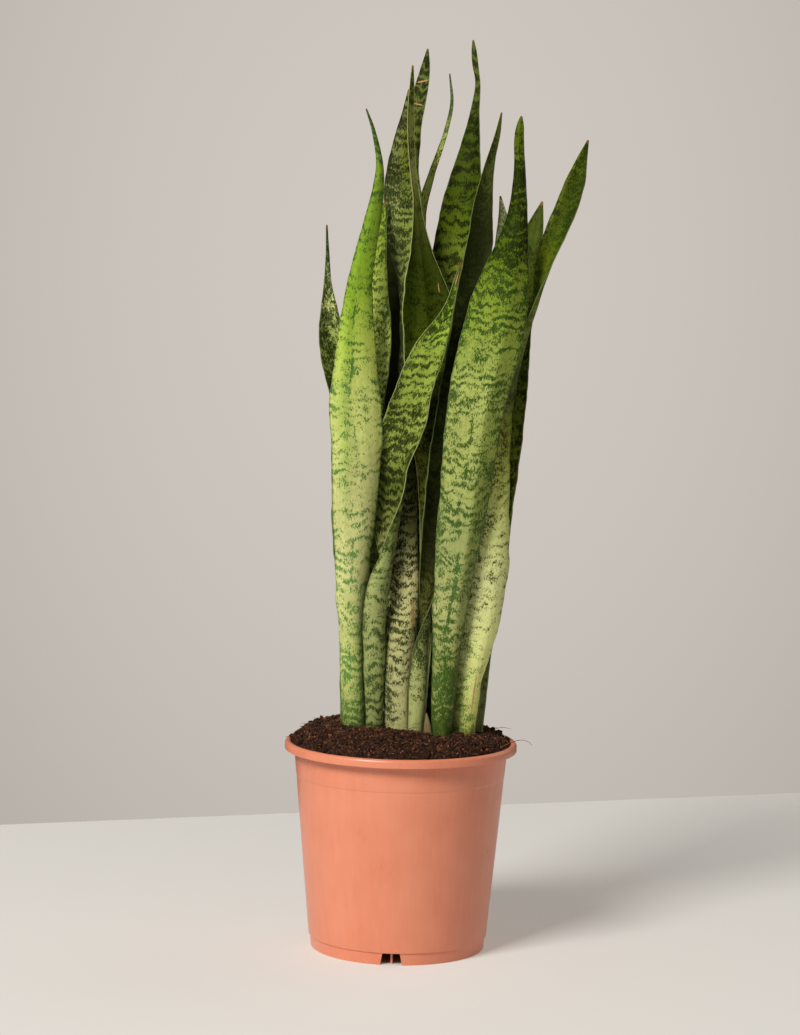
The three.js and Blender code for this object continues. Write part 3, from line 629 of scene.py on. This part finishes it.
    # relief: fine long veins, with the bands standing a hair lower
    relief = total((patch("vein"), 0.55), (mask, -0.10), (patch("swell"), 0.9))
    bump = node("ShaderNodeBump", {"Strength": 0.55, "Distance": skinLook["veinHeight"] * mm,
                                   "Height": relief})
    gloss = node("ShaderNodeMapRange", [patch("wear"), -0.2, 0.2, *skinLook["gloss"]])
    skin = node("ShaderNodeBsdfPrincipled",
                {"Base Color": colour, "Roughness": gloss, "Normal": bump, "IOR": skinLook["ior"],
                 "Specular IOR Level": skinLook["shine"], "Specular Tint": paint(skinLook["waxTint"])})
    node("ShaderNodeOutputMaterial", {"Surface": skin})
    return made


for name, look in leafLooks.items():
    blade, marks = makeBlade(name, look)
    blade.data.materials.append(bladeSkin("sansevieria_skin_" + name, look, marks))
    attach(blade, "root")
    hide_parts(name)
print("blades:", len(leafLooks))


# Papery dead scale leaf: matte, fibrous, straw brown.

sheathLook = {
    "pale": "#8a7a48", "dark": "#5d4c2a", "ior": 1.45, "roughness": 0.85,
    "fibreWidth": 0.5, "fibreLength": 9.0, "fibreHeight": 0.3,      # mm
}


def sheathPaper(look):
    # dried leaf tissue: matte, with long pale and dark fibres
    made, tree = newMaterial("dead_scale_leaf_paper")
    node = partial(addNode, tree)
    wide, tall = 1 / (look["fibreWidth"] * mm), 1 / (look["fibreLength"] * mm)
    coords = node("ShaderNodeTexCoord").outputs["Object"]
    scaled = node("ShaderNodeVectorMath", [coords, (wide, wide, tall)], operation="MULTIPLY")
    fibres = node("ShaderNodeTexNoise", {"Vector": scaled, "Scale": 1.0, "Detail": 3.0})
    ramp = fillRamp(node("ShaderNodeValToRGB", [fibres]),
                    [(0.35, paint(look["dark"])), (0.62, paint(look["pale"]))])
    bump = node("ShaderNodeBump", {"Strength": 0.6, "Distance": look["fibreHeight"] * mm, "Height": fibres})
    paper = node("ShaderNodeBsdfPrincipled", {"Base Color": ramp, "Roughness": look["roughness"],
                                              "IOR": look["ior"], "Normal": bump})
    node("ShaderNodeOutputMaterial", {"Surface": paper})
    return made


sheathShape = {"seed": 21.0, "ground": {180: sheathLook["pale"]}, "deep": {180: sheathLook["dark"]},
               "dusk": {180: 0.5}, "tip": 2}
sheath, _ = makeBlade("dry_sheath", sheathShape)
sheath.data.materials.append(sheathPaper(sheathLook))
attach(sheath, "root")
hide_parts("dry_sheath")
print("sheath done")


# Polypropylene nursery pot, injection moulded in terracotta: soft satin gloss, faint flow marks,
# a little peat dust under the rim.

potShape = {      # mm, apart from counts and the turn in degrees
    "segments": 144,
    "rimRadius": 105.0, "rimTop": 188.2, "rimLip": 7.8,
    "wallTop": 96.4, "wallFoot": 80.9, "wall": 1.8,
    "footRadius": 78.7, "footHeight": 11.2, "floor": 2.0, "ridge": 157.0,
    "hubRadius": 14.0, "ribs": 6, "ribWidth": 1.8, "holes": 6, "holeRadius": 6.0, "holeCircle": 56.0,
    "notches": 3, "notchBottom": 20.0, "notchTop": 15.5, "notchHeight": 10.6, "notchTurn": -93.8,
    "sharpFrom": 38,      # degrees between faces from which an edge stays sharp
}


def roundedProfile(points):
    # [radius, height, rounding] points; a rounding above zero turns that corner into a small arc
    made = []
    for i, (r, z, bend) in enumerate(points):
        here = Vector((r, z))
        if not bend:
            made.append(here)
            continue
        back, ahead = Vector(points[i - 1][:2]) - here, Vector(points[i + 1][:2]) - here
        reach = min(bend, back.length * 0.49, ahead.length * 0.49)
        start, end = here + back.normalized() * reach, here + ahead.normalized() * reach
        for t in (0, 0.25, 0.5, 0.75, 1):
            made.append(start.lerp(here, t).lerp(here.lerp(end, t), t))
    return made


def potProfile(p):
    rim, top, lip = p["rimRadius"], p["rimTop"], p["rimTop"] - p["rimLip"]
    foot, low, ridge, wall = p["footRadius"], p["footHeight"], p["ridge"], p["wall"]
    floorTop = low + p["floor"]

    def wallAt(z):
        return p["wallFoot"] + (p["wallTop"] - p["wallFoot"]) * (z - low) / (lip - low)

    points = [(0, low, 0), (30, low, 0), (foot - 2.1, low, 0.3), (foot - 1.9, 0.0, 0.4), (foot, 0.0, 0.4),
              (foot + 0.9, low - 0.55, 0.15), (p["wallFoot"], low - 0.1, 0.5)]
    points += [(wallAt(z), z, 0) for z in (30, 50, 70, 90, 110, 130, 148)]
    points += [(wallAt(ridge) - 0.30, ridge, 0.25), (wallAt(ridge + 1) + 0.05, ridge + 0.9, 0.25),
               (wallAt(169), 169, 0), (p["wallTop"], lip - 0.4, 0.6)]
    # the rim is folded outwards, with a step in its fold
    points += [(rim - 4.4, top - 3, 0.3), (rim - 3.8, top - 2.2, 0.2), (rim - 2.2, top - 2.6, 0.3),
               (rim - 1.7, lip + 0.2, 0.25), (rim - 0.2, lip, 0.5), (rim, lip + 1.2, 0.6),
               (rim, top - 1.9, 1.2), (rim - 1.6, top, 1.3), (rim - 4.6, top, 1.0),
               (rim - 6.0, top - 2, 0.8), (p["wallTop"] - wall, lip, 0.6)]
    points += [(wallAt(z) - wall, z, 0) for z in (150, 110, 70, 30)]
    points += [(wallAt(floorTop) - wall, floorTop, 1.5), (40, floorTop, 0), (0, floorTop, 0)]
    return roundedProfile(points)


def turnedPotTree():
    # turns the profile held by the object's own mesh about the upright axis, adds the pad and the ribs,
    # and cuts the holes and the notches
    tree, given = newTree("turnedPot", {
        "Profile": "Geometry", "Segments": "Int", "Ribs": "Int", "Rib Length": "Float",
        "Rib Width": "Float", "Rib Height": "Float", "Hub Radius": "Float", "Holes": "Int",
        "Hole Radius": "Float", "Hole Circle": "Float", "Notches": "Int", "Notch Bottom": "Float",
        "Notch Top": "Float", "Notch Height": "Float", "Foot Radius": "Float", "Turn": "Float",
        "Material": "Material"})
    node, total = partial(addNode, tree), partial(weightedSum, tree)

    # grid of profile points by turns, each sent to its place round the axis
    size = node("GeometryNodeAttributeDomainSize", [given["Profile"]]).outputs["Point Count"]
    around = total((given["Segments"], 1.0), start=1.0)
    grid = node("GeometryNodeMeshGrid", {"Vertices X": size, "Vertices Y": around})
    index = node("GeometryNodeInputIndex")
    share = node("ShaderNodeMath", [index, around], operation="DIVIDE")
    step = node("ShaderNodeMath", [share], operation="FLOOR")
    column = node("ShaderNodeMath", [index, around], operation="MODULO")
    oneTurn = node("ShaderNodeMath", [math.tau, given["Segments"]], operation="DIVIDE")
    turn = node("ShaderNodeMath", [column, oneTurn], operation="MULTIPLY")
    position = node("GeometryNodeInputPosition")
    sample = node("GeometryNodeSampleIndex", [given["Profile"]], data_type="FLOAT_VECTOR")
    for socket in sample.inputs:
        if socket.name == "Value" and socket.type == "VECTOR":
            tree.links.new(position.outputs[0], socket)
        if socket.name == "Index":
            tree.links.new(step.outputs[0], socket)
    point = node("ShaderNodeSeparateXYZ", [sample]).outputs
    upright = node("ShaderNodeCombineXYZ", [point[0], 0.0, point[1]])
    where = node("ShaderNodeVectorRotate", {"Vector": upright, "Angle": turn}, rotation_type="Z_AXIS")
    moved = node("GeometryNodeSetPosition", {"Geometry": grid, "Position": where})
    closed = node("GeometryNodeMergeByDistance", {"Geometry": moved, "Distance": 0.01 * mm})

    def ring(shape, count, radius, offset=0.0):
        # the shape, repeated round the axis and turned to face outwards
        share = node("ShaderNodeMath", [math.tau, count], operation="DIVIDE")
        steps = node("ShaderNodeMath", [node("GeometryNodeInputIndex"), share], operation="MULTIPLY")
        angle = total((steps, 1.0), (given["Turn"], 1.0), start=offset)
        spoke = node("ShaderNodeCombineXYZ", [radius, 0.0, 0.0])
        end = node("ShaderNodeVectorRotate", {"Vector": spoke, "Angle": angle}, rotation_type="Z_AXIS")
        points = node("GeometryNodePoints", {"Count": count})
        placed = node("GeometryNodeSetPosition", {"Geometry": points, "Position": end})
        facing = node("ShaderNodeCombineXYZ", [0.0, 0.0, angle])
        laid = node("GeometryNodeInstanceOnPoints", {"Points": placed, "Instance": shape,
                                                     "Rotation": facing})
        return node("GeometryNodeRealizeInstances", [laid])

    def raised(shape, height):
        up = node("ShaderNodeCombineXYZ", [0.0, 0.0, height])
        return node("GeometryNodeTransform", {"Geometry": shape, "Translation": up})

    # ribs reach 2 mm into the pad in the middle
    halfRib = total((given["Rib Height"], 0.5))
    ribSize = node("ShaderNodeCombineXYZ", [given["Rib Length"], given["Rib Width"], given["Rib Height"]])
    ribAt = total((given["Rib Length"], 0.5), (given["Hub Radius"], 1.0), start=-2 * mm)
    ribs = ring(raised(node("GeometryNodeMeshCube", {"Size": ribSize}), halfRib), given["Ribs"], ribAt)
    disc = node("GeometryNodeMeshCylinder", {"Vertices": 48, "Radius": given["Hub Radius"],
                                             "Depth": given["Rib Height"]})
    hub = raised(disc, halfRib)
    drill = node("GeometryNodeMeshCylinder", {"Vertices": 32, "Radius": given["Hole Radius"],
                                              "Depth": 60 * mm})
    holes = ring(drill, given["Holes"], given["Hole Circle"], math.pi / 6)

    # notch: a block that narrows upwards, from 1 mm under the foot
    blockSize = node("ShaderNodeCombineXYZ", [12 * mm, 1.0, total((given["Notch Height"], 1.0), start=mm)])
    block = raised(node("GeometryNodeMeshCube", {"Size": blockSize}),
                   total((given["Notch Height"], 0.5), start=-0.5 * mm))
    spot = node("ShaderNodeSeparateXYZ", [node("GeometryNodeInputPosition")]).outputs
    isTop = node("ShaderNodeMath", [spot[2], mm], operation="GREATER_THAN")
    width = node("ShaderNodeMix", {0: isTop, 2: given["Notch Bottom"], 3: given["Notch Top"]},
                 data_type="FLOAT")
    narrowed = node("ShaderNodeMath", [spot[1], width], operation="MULTIPLY")
    wedge = node("ShaderNodeCombineXYZ", [spot[0], narrowed, spot[2]])
    shaped = node("GeometryNodeSetPosition", {"Geometry": block, "Position": wedge})
    notches = ring(shaped, given["Notches"], given["Foot Radius"])

    body = node("GeometryNodeMeshBoolean", operation="UNION", solver="EXACT")
    for part in (closed, ribs, hub):
        tree.links.new(part.outputs[0], body.inputs["Mesh 2"])
    cut = node("GeometryNodeMeshBoolean", {"Mesh 1": body}, operation="DIFFERENCE", solver="EXACT")
    for part in (holes, notches):
        tree.links.new(part.outputs[0], cut.inputs["Mesh 2"])
    return finishTree(tree, cut, given["Material"])


potLook = {
    "plastic": "#de8767", "sunned": "#e18c6c", "worn": "#da8261", "dust": "#5b4030",
    "gloss": (0.27, 0.37), "ior": 1.49,
    # mm across and along: faint colour clouds, upright flow marks, dust, scuffs, tool grain and waves;
    # the grain is drawn coarser than the real 0.05 mm so that it shows
    "cloud": (38.0, 38.0), "flow": (5.0, 60.0), "speck": (1.3, 1.3), "scuff": (0.8, 9.0),
    "grain": (0.25, 0.25), "swell": (26, 60),
    "reliefHeight": 0.8,      # mm
    "dustUnderRim": (0.150, 0.182), "dustOnFoot": (0.016, 0.0), "dustExtra": 0.05,      # heights in metres
}


def mouldedPlastic(look):
    # polypropylene out of a polished mould: an even satin gloss, broken by fine scuffs and dust
    made, tree = newMaterial("moulded_polypropylene_terracotta")
    node, total = partial(addNode, tree), partial(weightedSum, tree)
    coords = node("ShaderNodeTexCoord").outputs["Object"]

    def patch(kind, detail=2.0, rough=0.5):
        wide, tall = (1 / (size * mm) for size in look[kind])
        scaled = node("ShaderNodeVectorMath", [coords, (wide, wide, tall)], operation="MULTIPLY")
        return node("ShaderNodeTexNoise", {"Vector": scaled, "Scale": 1.0, "Detail": detail,
                                           "Roughness": rough})

    cloud = patch("cloud", 3.0)
    ramp = fillRamp(node("ShaderNodeValToRGB", [total((cloud, 0.65), (patch("flow"), 0.35))]),
                    [(0.34, paint(look["worn"])), (0.5, paint(look["plastic"])),
                     (0.66, paint(look["sunned"]))])
    # peat dust: sparse specks, mostly just under the rim and on the foot
    height = node("ShaderNodeSeparateXYZ", [coords]).outputs[2]
    nearRim = node("ShaderNodeMapRange", [height, *look["dustUnderRim"], 0.0, look["dustExtra"]])
    nearFoot = node("ShaderNodeMapRange", [height, *look["dustOnFoot"], 0.0, look["dustExtra"]])
    dusting = total((patch("speck", 3.0, 0.7), 1.0), (nearRim, 1.0), (nearFoot, 1.0))
    specks = node("ShaderNodeMapRange", [dusting, 0.70, 0.76, 0.0, 0.75])
    dusty = node("ShaderNodeMix", {0: specks, 6: ramp, 7: paint(look["dust"])}, data_type="RGBA")
    scuffed = total((cloud, 0.5), (patch("scuff", 3.0, 0.65), 0.5))
    gloss = node("ShaderNodeMapRange", [scuffed, 0.35, 0.65, *look["gloss"]])
    relief = total((patch("grain"), 0.025), (patch("swell"), 1.6))
    bump = node("ShaderNodeBump", {"Strength": 0.5, "Distance": look["reliefHeight"] * mm,
                                   "Height": relief})
    plastic = node("ShaderNodeBsdfPrincipled", {"Base Color": dusty, "Roughness": gloss, "IOR": look["ior"],
                                                "Normal": bump})
    node("ShaderNodeOutputMaterial", {"Surface": plastic})
    return made


def makePot(p, material):
    profile = potProfile(p)
    edges = [(i, i + 1) for i in range(len(profile) - 1)]
    pot = meshObject("pot_turned", [(r * mm, z * mm, 0) for r, z in profile], [], edges)
    ribLength = p["footRadius"] - 1.5 - p["hubRadius"] + 2      # into the foot ring and into the pad
    ribHeight = p["footHeight"] + 0.5      # into the floor
    runTree(pot, turnedPotTree(), {
        "Segments": p["segments"], "Ribs": p["ribs"], "Rib Length": ribLength * mm,
        "Rib Width": p["ribWidth"] * mm, "Rib Height": ribHeight * mm, "Hub Radius": p["hubRadius"] * mm,
        "Holes": p["holes"], "Hole Radius": p["holeRadius"] * mm, "Hole Circle": p["holeCircle"] * mm,
        "Notches": p["notches"], "Notch Bottom": p["notchBottom"] * mm, "Notch Top": p["notchTop"] * mm,
        "Notch Height": p["notchHeight"] * mm, "Foot Radius": p["footRadius"] * mm,
        "Turn": math.radians(p["notchTurn"]), "Material": material,
    })
    smoothShade(pot.data)
    pot.data.set_sharp_from_angle(angle=math.radians(p["sharpFrom"]))
    return pot


pot = makePot(potShape, mouldedPlastic(potLook))
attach(pot, "root")
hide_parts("pot")
print("pot:", len(pot.data.polygons), "faces")


# Peat potting mix: crumbs of dark humus, clods, reddish dry crumbs, chips and a few pale straws.

soilShape = {
    "lumps": 2.2,                     # mm, height of the lumps
    "fineEdges": (16, 8, 4),          # mm, edges of the top are split while they are longer than these
    "topFrom": 186, "looseFrom": 186.8, "lumpsFrom": 187.5,      # mm, heights where each begins
    "wallAt": 98.6, "wallFade": 6,    # mm, the lumps fade out towards the pot's wall
    # mm: x, y, reach and rise
    "heaps": [(-14, -50, 13, 4.6), (58, -52, 14, 2.4), (-66, -30, 18, 2.6), (30, 62, 20, 3.0),
              (-30, 70, 16, 2.2)],
    # roots that lie on the peat and over the rim: points in mm and thickness
    "roots": [[(88, -36, 189), (97, -34, 193), (106, -31, 195.5), (113, -27, 194), (118, -24, 190), 0.42],
              [(-62, -74, 190), (-54, -78, 190.5), (-46, -80, 189.5), (-34, -86, 189.6),
               (-22, -88, 188.6), 0.5],
              [(44, -82, 189), (46, -76, 195), (50, -70, 199), (53, -66, 198), 0.4],
              [(52, -84, 188.6), (50, -76, 193), (46, -70, 198), 0.35],
              [(80, 40, 190), (92, 46, 194), (102, 50, 192), 0.35]],
    "seed": 11,
}


peatLook = {"grain": 0.7, "grainHeight": 0.6, "shine": 0.25, "ior": 1.4}      # mm, then optics


def peat(name, dark, mid, light, clump, roughness=0.95):
    # damp peat: almost no gloss, reddish where it dries
    made, tree = newMaterial(name)
    node = partial(addNode, tree)
    coords = node("ShaderNodeTexCoord").outputs["Object"]
    coarse = node("ShaderNodeTexNoise", {"Vector": coords, "Scale": 1 / (clump * mm), "Detail": 4.0,
                                         "Roughness": 0.65})
    ramp = fillRamp(node("ShaderNodeValToRGB", [coarse]),
                    [(0.36, paint(dark)), (0.52, paint(mid)), (0.70, paint(light))])
    fine = node("ShaderNodeTexNoise", {"Vector": coords, "Scale": 1 / (peatLook["grain"] * mm),
                                       "Detail": 3.0, "Roughness": 0.7})
    bump = node("ShaderNodeBump", {"Strength": 0.8, "Distance": peatLook["grainHeight"] * mm,
                                   "Height": fine})
    matter = node("ShaderNodeBsdfPrincipled",
                  {"Base Color": ramp, "Roughness": roughness, "IOR": peatLook["ior"], "Normal": bump,
                   "Specular IOR Level": peatLook["shine"]})
    node("ShaderNodeOutputMaterial", {"Surface": matter})
    return made


humus = peat("damp_peat_humus", "#140b07", "#2e1a12", "#563524", 3.0)
crumbPeat = peat("loose_peat_crumbs", "#150d08", "#402719", "#80563b", 2.2)
redPeat = peat("dry_red_peat_crumbs", "#3f1f11", "#74422b", "#a87050", 2.6)
fibrePeat = peat("dry_peat_fibres", "#3e2817", "#6f4d31", "#b08c62", 6.0, 0.8)


def crumbShape(tree):
    return addNode(tree, "GeometryNodeMeshIcoSphere", {"Radius": 0.5, "Subdivisions": 1})


def chipShape(tree):
    return addNode(tree, "GeometryNodeTransform", {"Geometry": crumbShape(tree),
                                                   "Scale": (1.0, 0.42, 0.28)})


def fibreShape(tree):
    # a thin bent hair one unit long, three-sided
    bend = addNode(tree, "GeometryNodeCurveQuadraticBezier",
                   {"Resolution": 6, "Start": (-0.5, 0, 0), "Middle": (0.05, 0.22, 0.28),
                    "End": (0.5, -0.06, 0.0)})
    section = addNode(tree, "GeometryNodeCurvePrimitiveCircle", {"Resolution": 3, "Radius": 0.017})
    return addNode(tree, "GeometryNodeCurveToMesh", {"Curve": bend, "Profile Curve": section,
                                                     "Fill Caps": True})


# loose peat, each kind lying on the raked top: how many, sizes in mm, tilt in radians,
# mm that it stands above the surface, and what is added to the seed
loosePeat = {
    "soil_crumbs": {"shape": crumbShape, "peat": crumbPeat, "count": 4200, "sizes": (0.9, 4.2),
                    "tilt": 3.1, "lift": 0.1, "salt": 1},
    "soil_clods": {"shape": crumbShape, "peat": humus, "count": 420, "sizes": (4.0, 9.5),
                   "tilt": 3.1, "lift": -0.4, "salt": 4},
    "soil_red_crumbs": {"shape": crumbShape, "peat": redPeat, "count": 620, "sizes": (1.0, 3.8),
                        "tilt": 3.1, "lift": 0.6, "salt": 5},
    "soil_chips": {"shape": chipShape, "peat": crumbPeat, "count": 700, "sizes": (2.0, 7.5),
                   "tilt": 0.7, "lift": 0.3, "salt": 2},
    "soil_fibres": {"shape": fibreShape, "peat": fibrePeat, "count": 400, "sizes": (6.0, 16.0),
                    "tilt": 0.45, "lift": 0.8, "salt": 3},
}


def scatterTree(name, makeShape):
    # lays many small shapes on the up-facing part of the surface, each turned and sized at random
    tree, given = newTree(name, {
        "Surface": "Geometry", "Count": "Int", "Area": "Float", "Smallest": "Float", "Largest": "Float",
        "Tilt": "Float", "Lift": "Float", "Seed": "Int", "Material": "Material"})
    node, total = partial(addNode, tree), partial(weightedSum, tree)
    seeds = [total((given["Seed"], 1.0), start=salt) for salt in (1.0, 2.0, 3.0)]

    up = node("ShaderNodeSeparateXYZ", [node("GeometryNodeInputNormal")]).outputs[2]
    height = node("ShaderNodeSeparateXYZ", [node("GeometryNodeInputPosition")]).outputs[2]
    high = node("ShaderNodeMath", [height, soilShape["looseFrom"] * mm], operation="GREATER_THAN")
    facing = node("ShaderNodeMath", [up, 0.5], operation="GREATER_THAN")
    useful = node("ShaderNodeMath", [high, facing], operation="MULTIPLY")
    density = node("ShaderNodeMath", [given["Count"], given["Area"]], operation="DIVIDE")
    spread = node("GeometryNodeDistributePointsOnFaces", {"Mesh": given["Surface"], "Selection": useful,
                                                          "Density": density, "Seed": given["Seed"]})
    lift = node("ShaderNodeCombineXYZ", [0.0, 0.0, given["Lift"]])
    settled = node("GeometryNodeSetPosition", {"Geometry": spread, "Offset": lift})

    size = node("FunctionNodeRandomValue", {2: given["Smallest"], 3: given["Largest"], "Seed": seeds[0]},
                data_type="FLOAT")
    stretch = node("FunctionNodeRandomValue", {0: (0.55, 0.55, 0.45), 1: (1.25, 1.0, 0.9),
                                               "Seed": seeds[1]}, data_type="FLOAT_VECTOR")
    scale = node("ShaderNodeVectorMath", {0: stretch, "Scale": size}, operation="SCALE")
    back = node("ShaderNodeMath", [given["Tilt"], -1.0], operation="MULTIPLY")
    least = node("ShaderNodeCombineXYZ", [back, back, 0.0])
    most = node("ShaderNodeCombineXYZ", [given["Tilt"], given["Tilt"], math.tau])
    turn = node("FunctionNodeRandomValue", {0: least, 1: most, "Seed": seeds[2]}, data_type="FLOAT_VECTOR")
    laid = node("GeometryNodeInstanceOnPoints", {"Points": settled, "Instance": makeShape(tree),
                                                 "Rotation": turn, "Scale": scale})
    real = node("GeometryNodeRealizeInstances", [laid])

    # each point is pushed a little, so that no two crumbs are alike
    rough = node("ShaderNodeTexNoise", {"Vector": node("GeometryNodeInputPosition"), "Scale": 900.0,
                                        "Detail": 1.0})
    centred = node("ShaderNodeVectorMath", [rough.outputs[1], (0.5, 0.5, 0.5)], operation="SUBTRACT")
    push = node("ShaderNodeVectorMath", {0: centred, "Scale": 1.3 * mm}, operation="SCALE")
    bumped = node("GeometryNodeSetPosition", {"Geometry": real, "Offset": push})
    return finishTree(tree, bumped, given["Material"])


def rakedSoil(shape, material):
    # the packed soil block with a finer, lumpier top
    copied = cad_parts["soil"].data.copy()
    work = bmesh.new()
    work.from_mesh(copied)
    bmesh.ops.remove_doubles(work, verts=work.verts, dist=1e-6)
    for length in shape["fineEdges"]:
        long = [e for e in work.edges if min(v.co.z for v in e.verts) > shape["topFrom"] * mm
                and e.calc_length() > length * mm]
        bmesh.ops.subdivide_edges(work, edges=long, cuts=1)
        bmesh.ops.triangulate(work, faces=[f for f in work.faces if len(f.verts) > 3])
    for v in work.verts:
        if v.co.z < shape["lumpsFrom"] * mm:
            continue
        x, y = v.co.x / mm, v.co.y / mm
        fade = max(0, min(1, (shape["wallAt"] - math.hypot(x, y)) / shape["wallFade"]))
        lump = (math.sin(x / 3.1 + 1.3 * math.sin(y / 4.7)) * math.cos(y / 2.9 + math.sin(x / 5.3))
                + 0.6 * math.sin(x / 1.7 + y / 2.3) * math.sin(y / 1.9 - x / 3.7))
        v.co.z += 0.45 * shape["lumps"] * lump * fade * mm
        for heapX, heapY, reach, rise in shape["heaps"]:
            v.co.z += rise * math.exp(-((x - heapX) ** 2 + (y - heapY) ** 2) / reach**2) * fade * mm
    work.to_mesh(copied)
    work.free()
    copied.materials.clear()
    copied.materials.append(material)
    smoothShade(copied)
    return placeObject("soil_raked", copied)


soil = rakedSoil(soilShape, humus)
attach(soil, "root")
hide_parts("soil")

looseFaces = 0
for name, kind in loosePeat.items():
    made = placeObject(name, soil.data.copy())
    runTree(made, scatterTree(name + "_scatter", kind["shape"]), {
        "Count": kind["count"], "Area": math.pi * (soilShape["wallAt"] * mm) ** 2,
        "Smallest": kind["sizes"][0] * mm, "Largest": kind["sizes"][1] * mm, "Tilt": kind["tilt"],
        "Lift": kind["lift"] * mm, "Seed": soilShape["seed"] + kind["salt"], "Material": kind["peat"],
    })
    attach(made, "root")
    looseFaces += len(made.data.polygons)
print("soil:", looseFaces, "loose faces")


def rootTree():
    # a round root that follows the curve held by the object's own mesh, thinner towards its end
    tree, given = newTree("rootAlongPath", {"Path": "Geometry", "Thickness": "Float",
                                            "Material": "Material"})
    node = partial(addNode, tree)
    line = node("GeometryNodeMeshToCurve", {"Mesh": given["Path"]})
    fine = node("GeometryNodeResampleCurve", {"Curve": line, "Count": 40})
    taper = node("ShaderNodeMapRange", [node("GeometryNodeSplineParameter"), 0.0, 1.0, 1.0, 0.35])
    size = node("ShaderNodeMath", [taper, given["Thickness"]], operation="MULTIPLY")
    ring = node("GeometryNodeCurvePrimitiveCircle", {"Resolution": 6, "Radius": 1.0})
    swept = node("GeometryNodeCurveToMesh", {"Curve": fine, "Profile Curve": ring, "Scale": size,
                                             "Fill Caps": True})
    return finishTree(tree, swept, given["Material"])


def layRoots(shape, material):
    tree = rootTree()
    for number, (*points, thick) in enumerate(shape["roots"], 1):
        knots = np.linspace(0, 1, len(points))
        path = smoothThrough(knots, np.array(points) * mm, np.linspace(0, 1, 30))
        root = meshObject(f"soil_root_{number}", path, [], [(i, i + 1) for i in range(len(path) - 1)])
        runTree(root, tree, {"Thickness": thick * mm, "Material": material})
        smoothShade(root.data)
        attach(root, "root")


layRoots(soilShape, fibrePeat)
print("roots:", len(soilShape["roots"]))


studio = {
    "floor": "#c4c2bf",
    "floorGlow": 0.26, "glowColour": "#fff6ea",      # stands for light thrown back by a white room
    "glowFrom": (0.068, 0.080),      # metres from the axis, as none reaches the table under the pot
    "floorReach": 6.0,        # metres to the sides and to the front
    "floorEdge": 0.64,        # metres behind the plant where the table ends
    "floorSkew": 0.306,       # how much further back the edge runs per metre to the right
    "backdrop": "#ccc5bd", "backdropBright": (1.03, 0.79), "backdropReach": 0.24,
    "backdropFall": (2.5, 1.8),      # how fast it darkens sideways and upwards
    "fill": "#dcdcdc", "fillPower": 0.155,
    "aim": (0, 0, 0.35),
    # place and width in metres, watts, colour
    "lights": {"key": [(-2.4, -3.2, 3.5), 1.7, 285, "#fffdf8"],
               "rim": [(2.4, 1.6, 1.5), 2.2, 14, "#fff8ee"]},
    # metres, radians and mm
    "camera": {"place": (-0.00464, -2.5, 0.6139), "down": 0.089, "roll": 0.019, "lens": 97.0},
}


def plainFloor(look):
    made, tree = newMaterial("matt_white_table")
    node = partial(addNode, tree)
    away = node("ShaderNodeVectorMath", [node("ShaderNodeTexCoord").outputs["Object"]], operation="LENGTH")
    glow = node("ShaderNodeMapRange", [away.outputs["Value"], *look["glowFrom"], 0.0, look["floorGlow"]])
    board = node("ShaderNodeBsdfPrincipled", {"Base Color": paint(look["floor"]), "Roughness": 0.8,
                                              "Emission Color": paint(look["glowColour"]),
                                              "Emission Strength": glow})
    node("ShaderNodeOutputMaterial", {"Surface": board})
    reach, edge, skew = look["floorReach"], look["floorEdge"], look["floorSkew"] * look["floorReach"]
    corners = [(-reach, -reach, 0), (reach, -reach, 0), (reach, edge + skew, 0), (-reach, edge - skew, 0)]
    floor = meshObject("table_top", corners, [(0, 1, 2, 3)])
    floor.data.materials.append(made)


def softBox(name, place, width, power, colour):
    lamp = bpy.data.lights.new(name, "AREA")
    lamp.shape = "SQUARE"
    lamp.size = width
    lamp.energy = power
    lamp.color = paint(colour)[:3]
    made = placeObject(name, lamp)
    made.location = place
    made.rotation_euler = (Vector(studio["aim"]) - Vector(place)).to_track_quat("-Z", "Y").to_euler()


def studioAir(look):
    # the backdrop's grey is seen behind the plant, and a dimmer sky fills its shadows
    world = bpy.data.worlds.new("studio_air")
    world.use_nodes = True
    tree = world.node_tree
    tree.nodes.clear()
    node = partial(addNode, tree)
    # the backdrop is brightest behind the plant and falls off below and to the sides
    towards = node("ShaderNodeSeparateXYZ", [node("ShaderNodeTexCoord").outputs["Generated"]]).outputs
    sideways = node("ShaderNodeMath", [towards[0], look["backdropFall"][0]], operation="MULTIPLY")
    upright = node("ShaderNodeMath", [towards[2], look["backdropFall"][1]], operation="MULTIPLY")
    offAxis = node("ShaderNodeCombineXYZ", [sideways, upright, 0.0])
    squared = node("ShaderNodeVectorMath", [offAxis, offAxis], operation="DOT_PRODUCT").outputs["Value"]
    bright = node("ShaderNodeMapRange", [squared, 0.0, look["backdropReach"], *look["backdropBright"]])
    seen = node("ShaderNodeBackground", {"Color": paint(look["backdrop"]), "Strength": bright})
    filling = node("ShaderNodeBackground", {"Color": paint(look["fill"]), "Strength": look["fillPower"]})
    straight = node("ShaderNodeLightPath").outputs["Is Camera Ray"]
    both = node("ShaderNodeMixShader", [straight, filling, seen])
    node("ShaderNodeOutputWorld", {"Surface": both})
    bpy.context.scene.world = world


def placeCamera(look):
    eye = bpy.data.cameras.new("eye")
    eye.lens = look["lens"]
    eye.sensor_width = 36
    eye.clip_start, eye.clip_end = 0.01, 100
    camera = placeObject("eye", eye)
    camera.location = look["place"]
    tilted = Matrix.Rotation(math.pi / 2 - look["down"], 4, "X")
    camera.rotation_euler = (tilted @ Matrix.Rotation(look["roll"], 4, "Z")).to_euler()
    bpy.context.scene.camera = camera


plainFloor(studio)
for name, light in studio["lights"].items():
    softBox(name, *light)
studioAir(studio)
placeCamera(studio["camera"])
bpy.context.scene.view_settings.view_transform = "Standard"
print("studio ready")
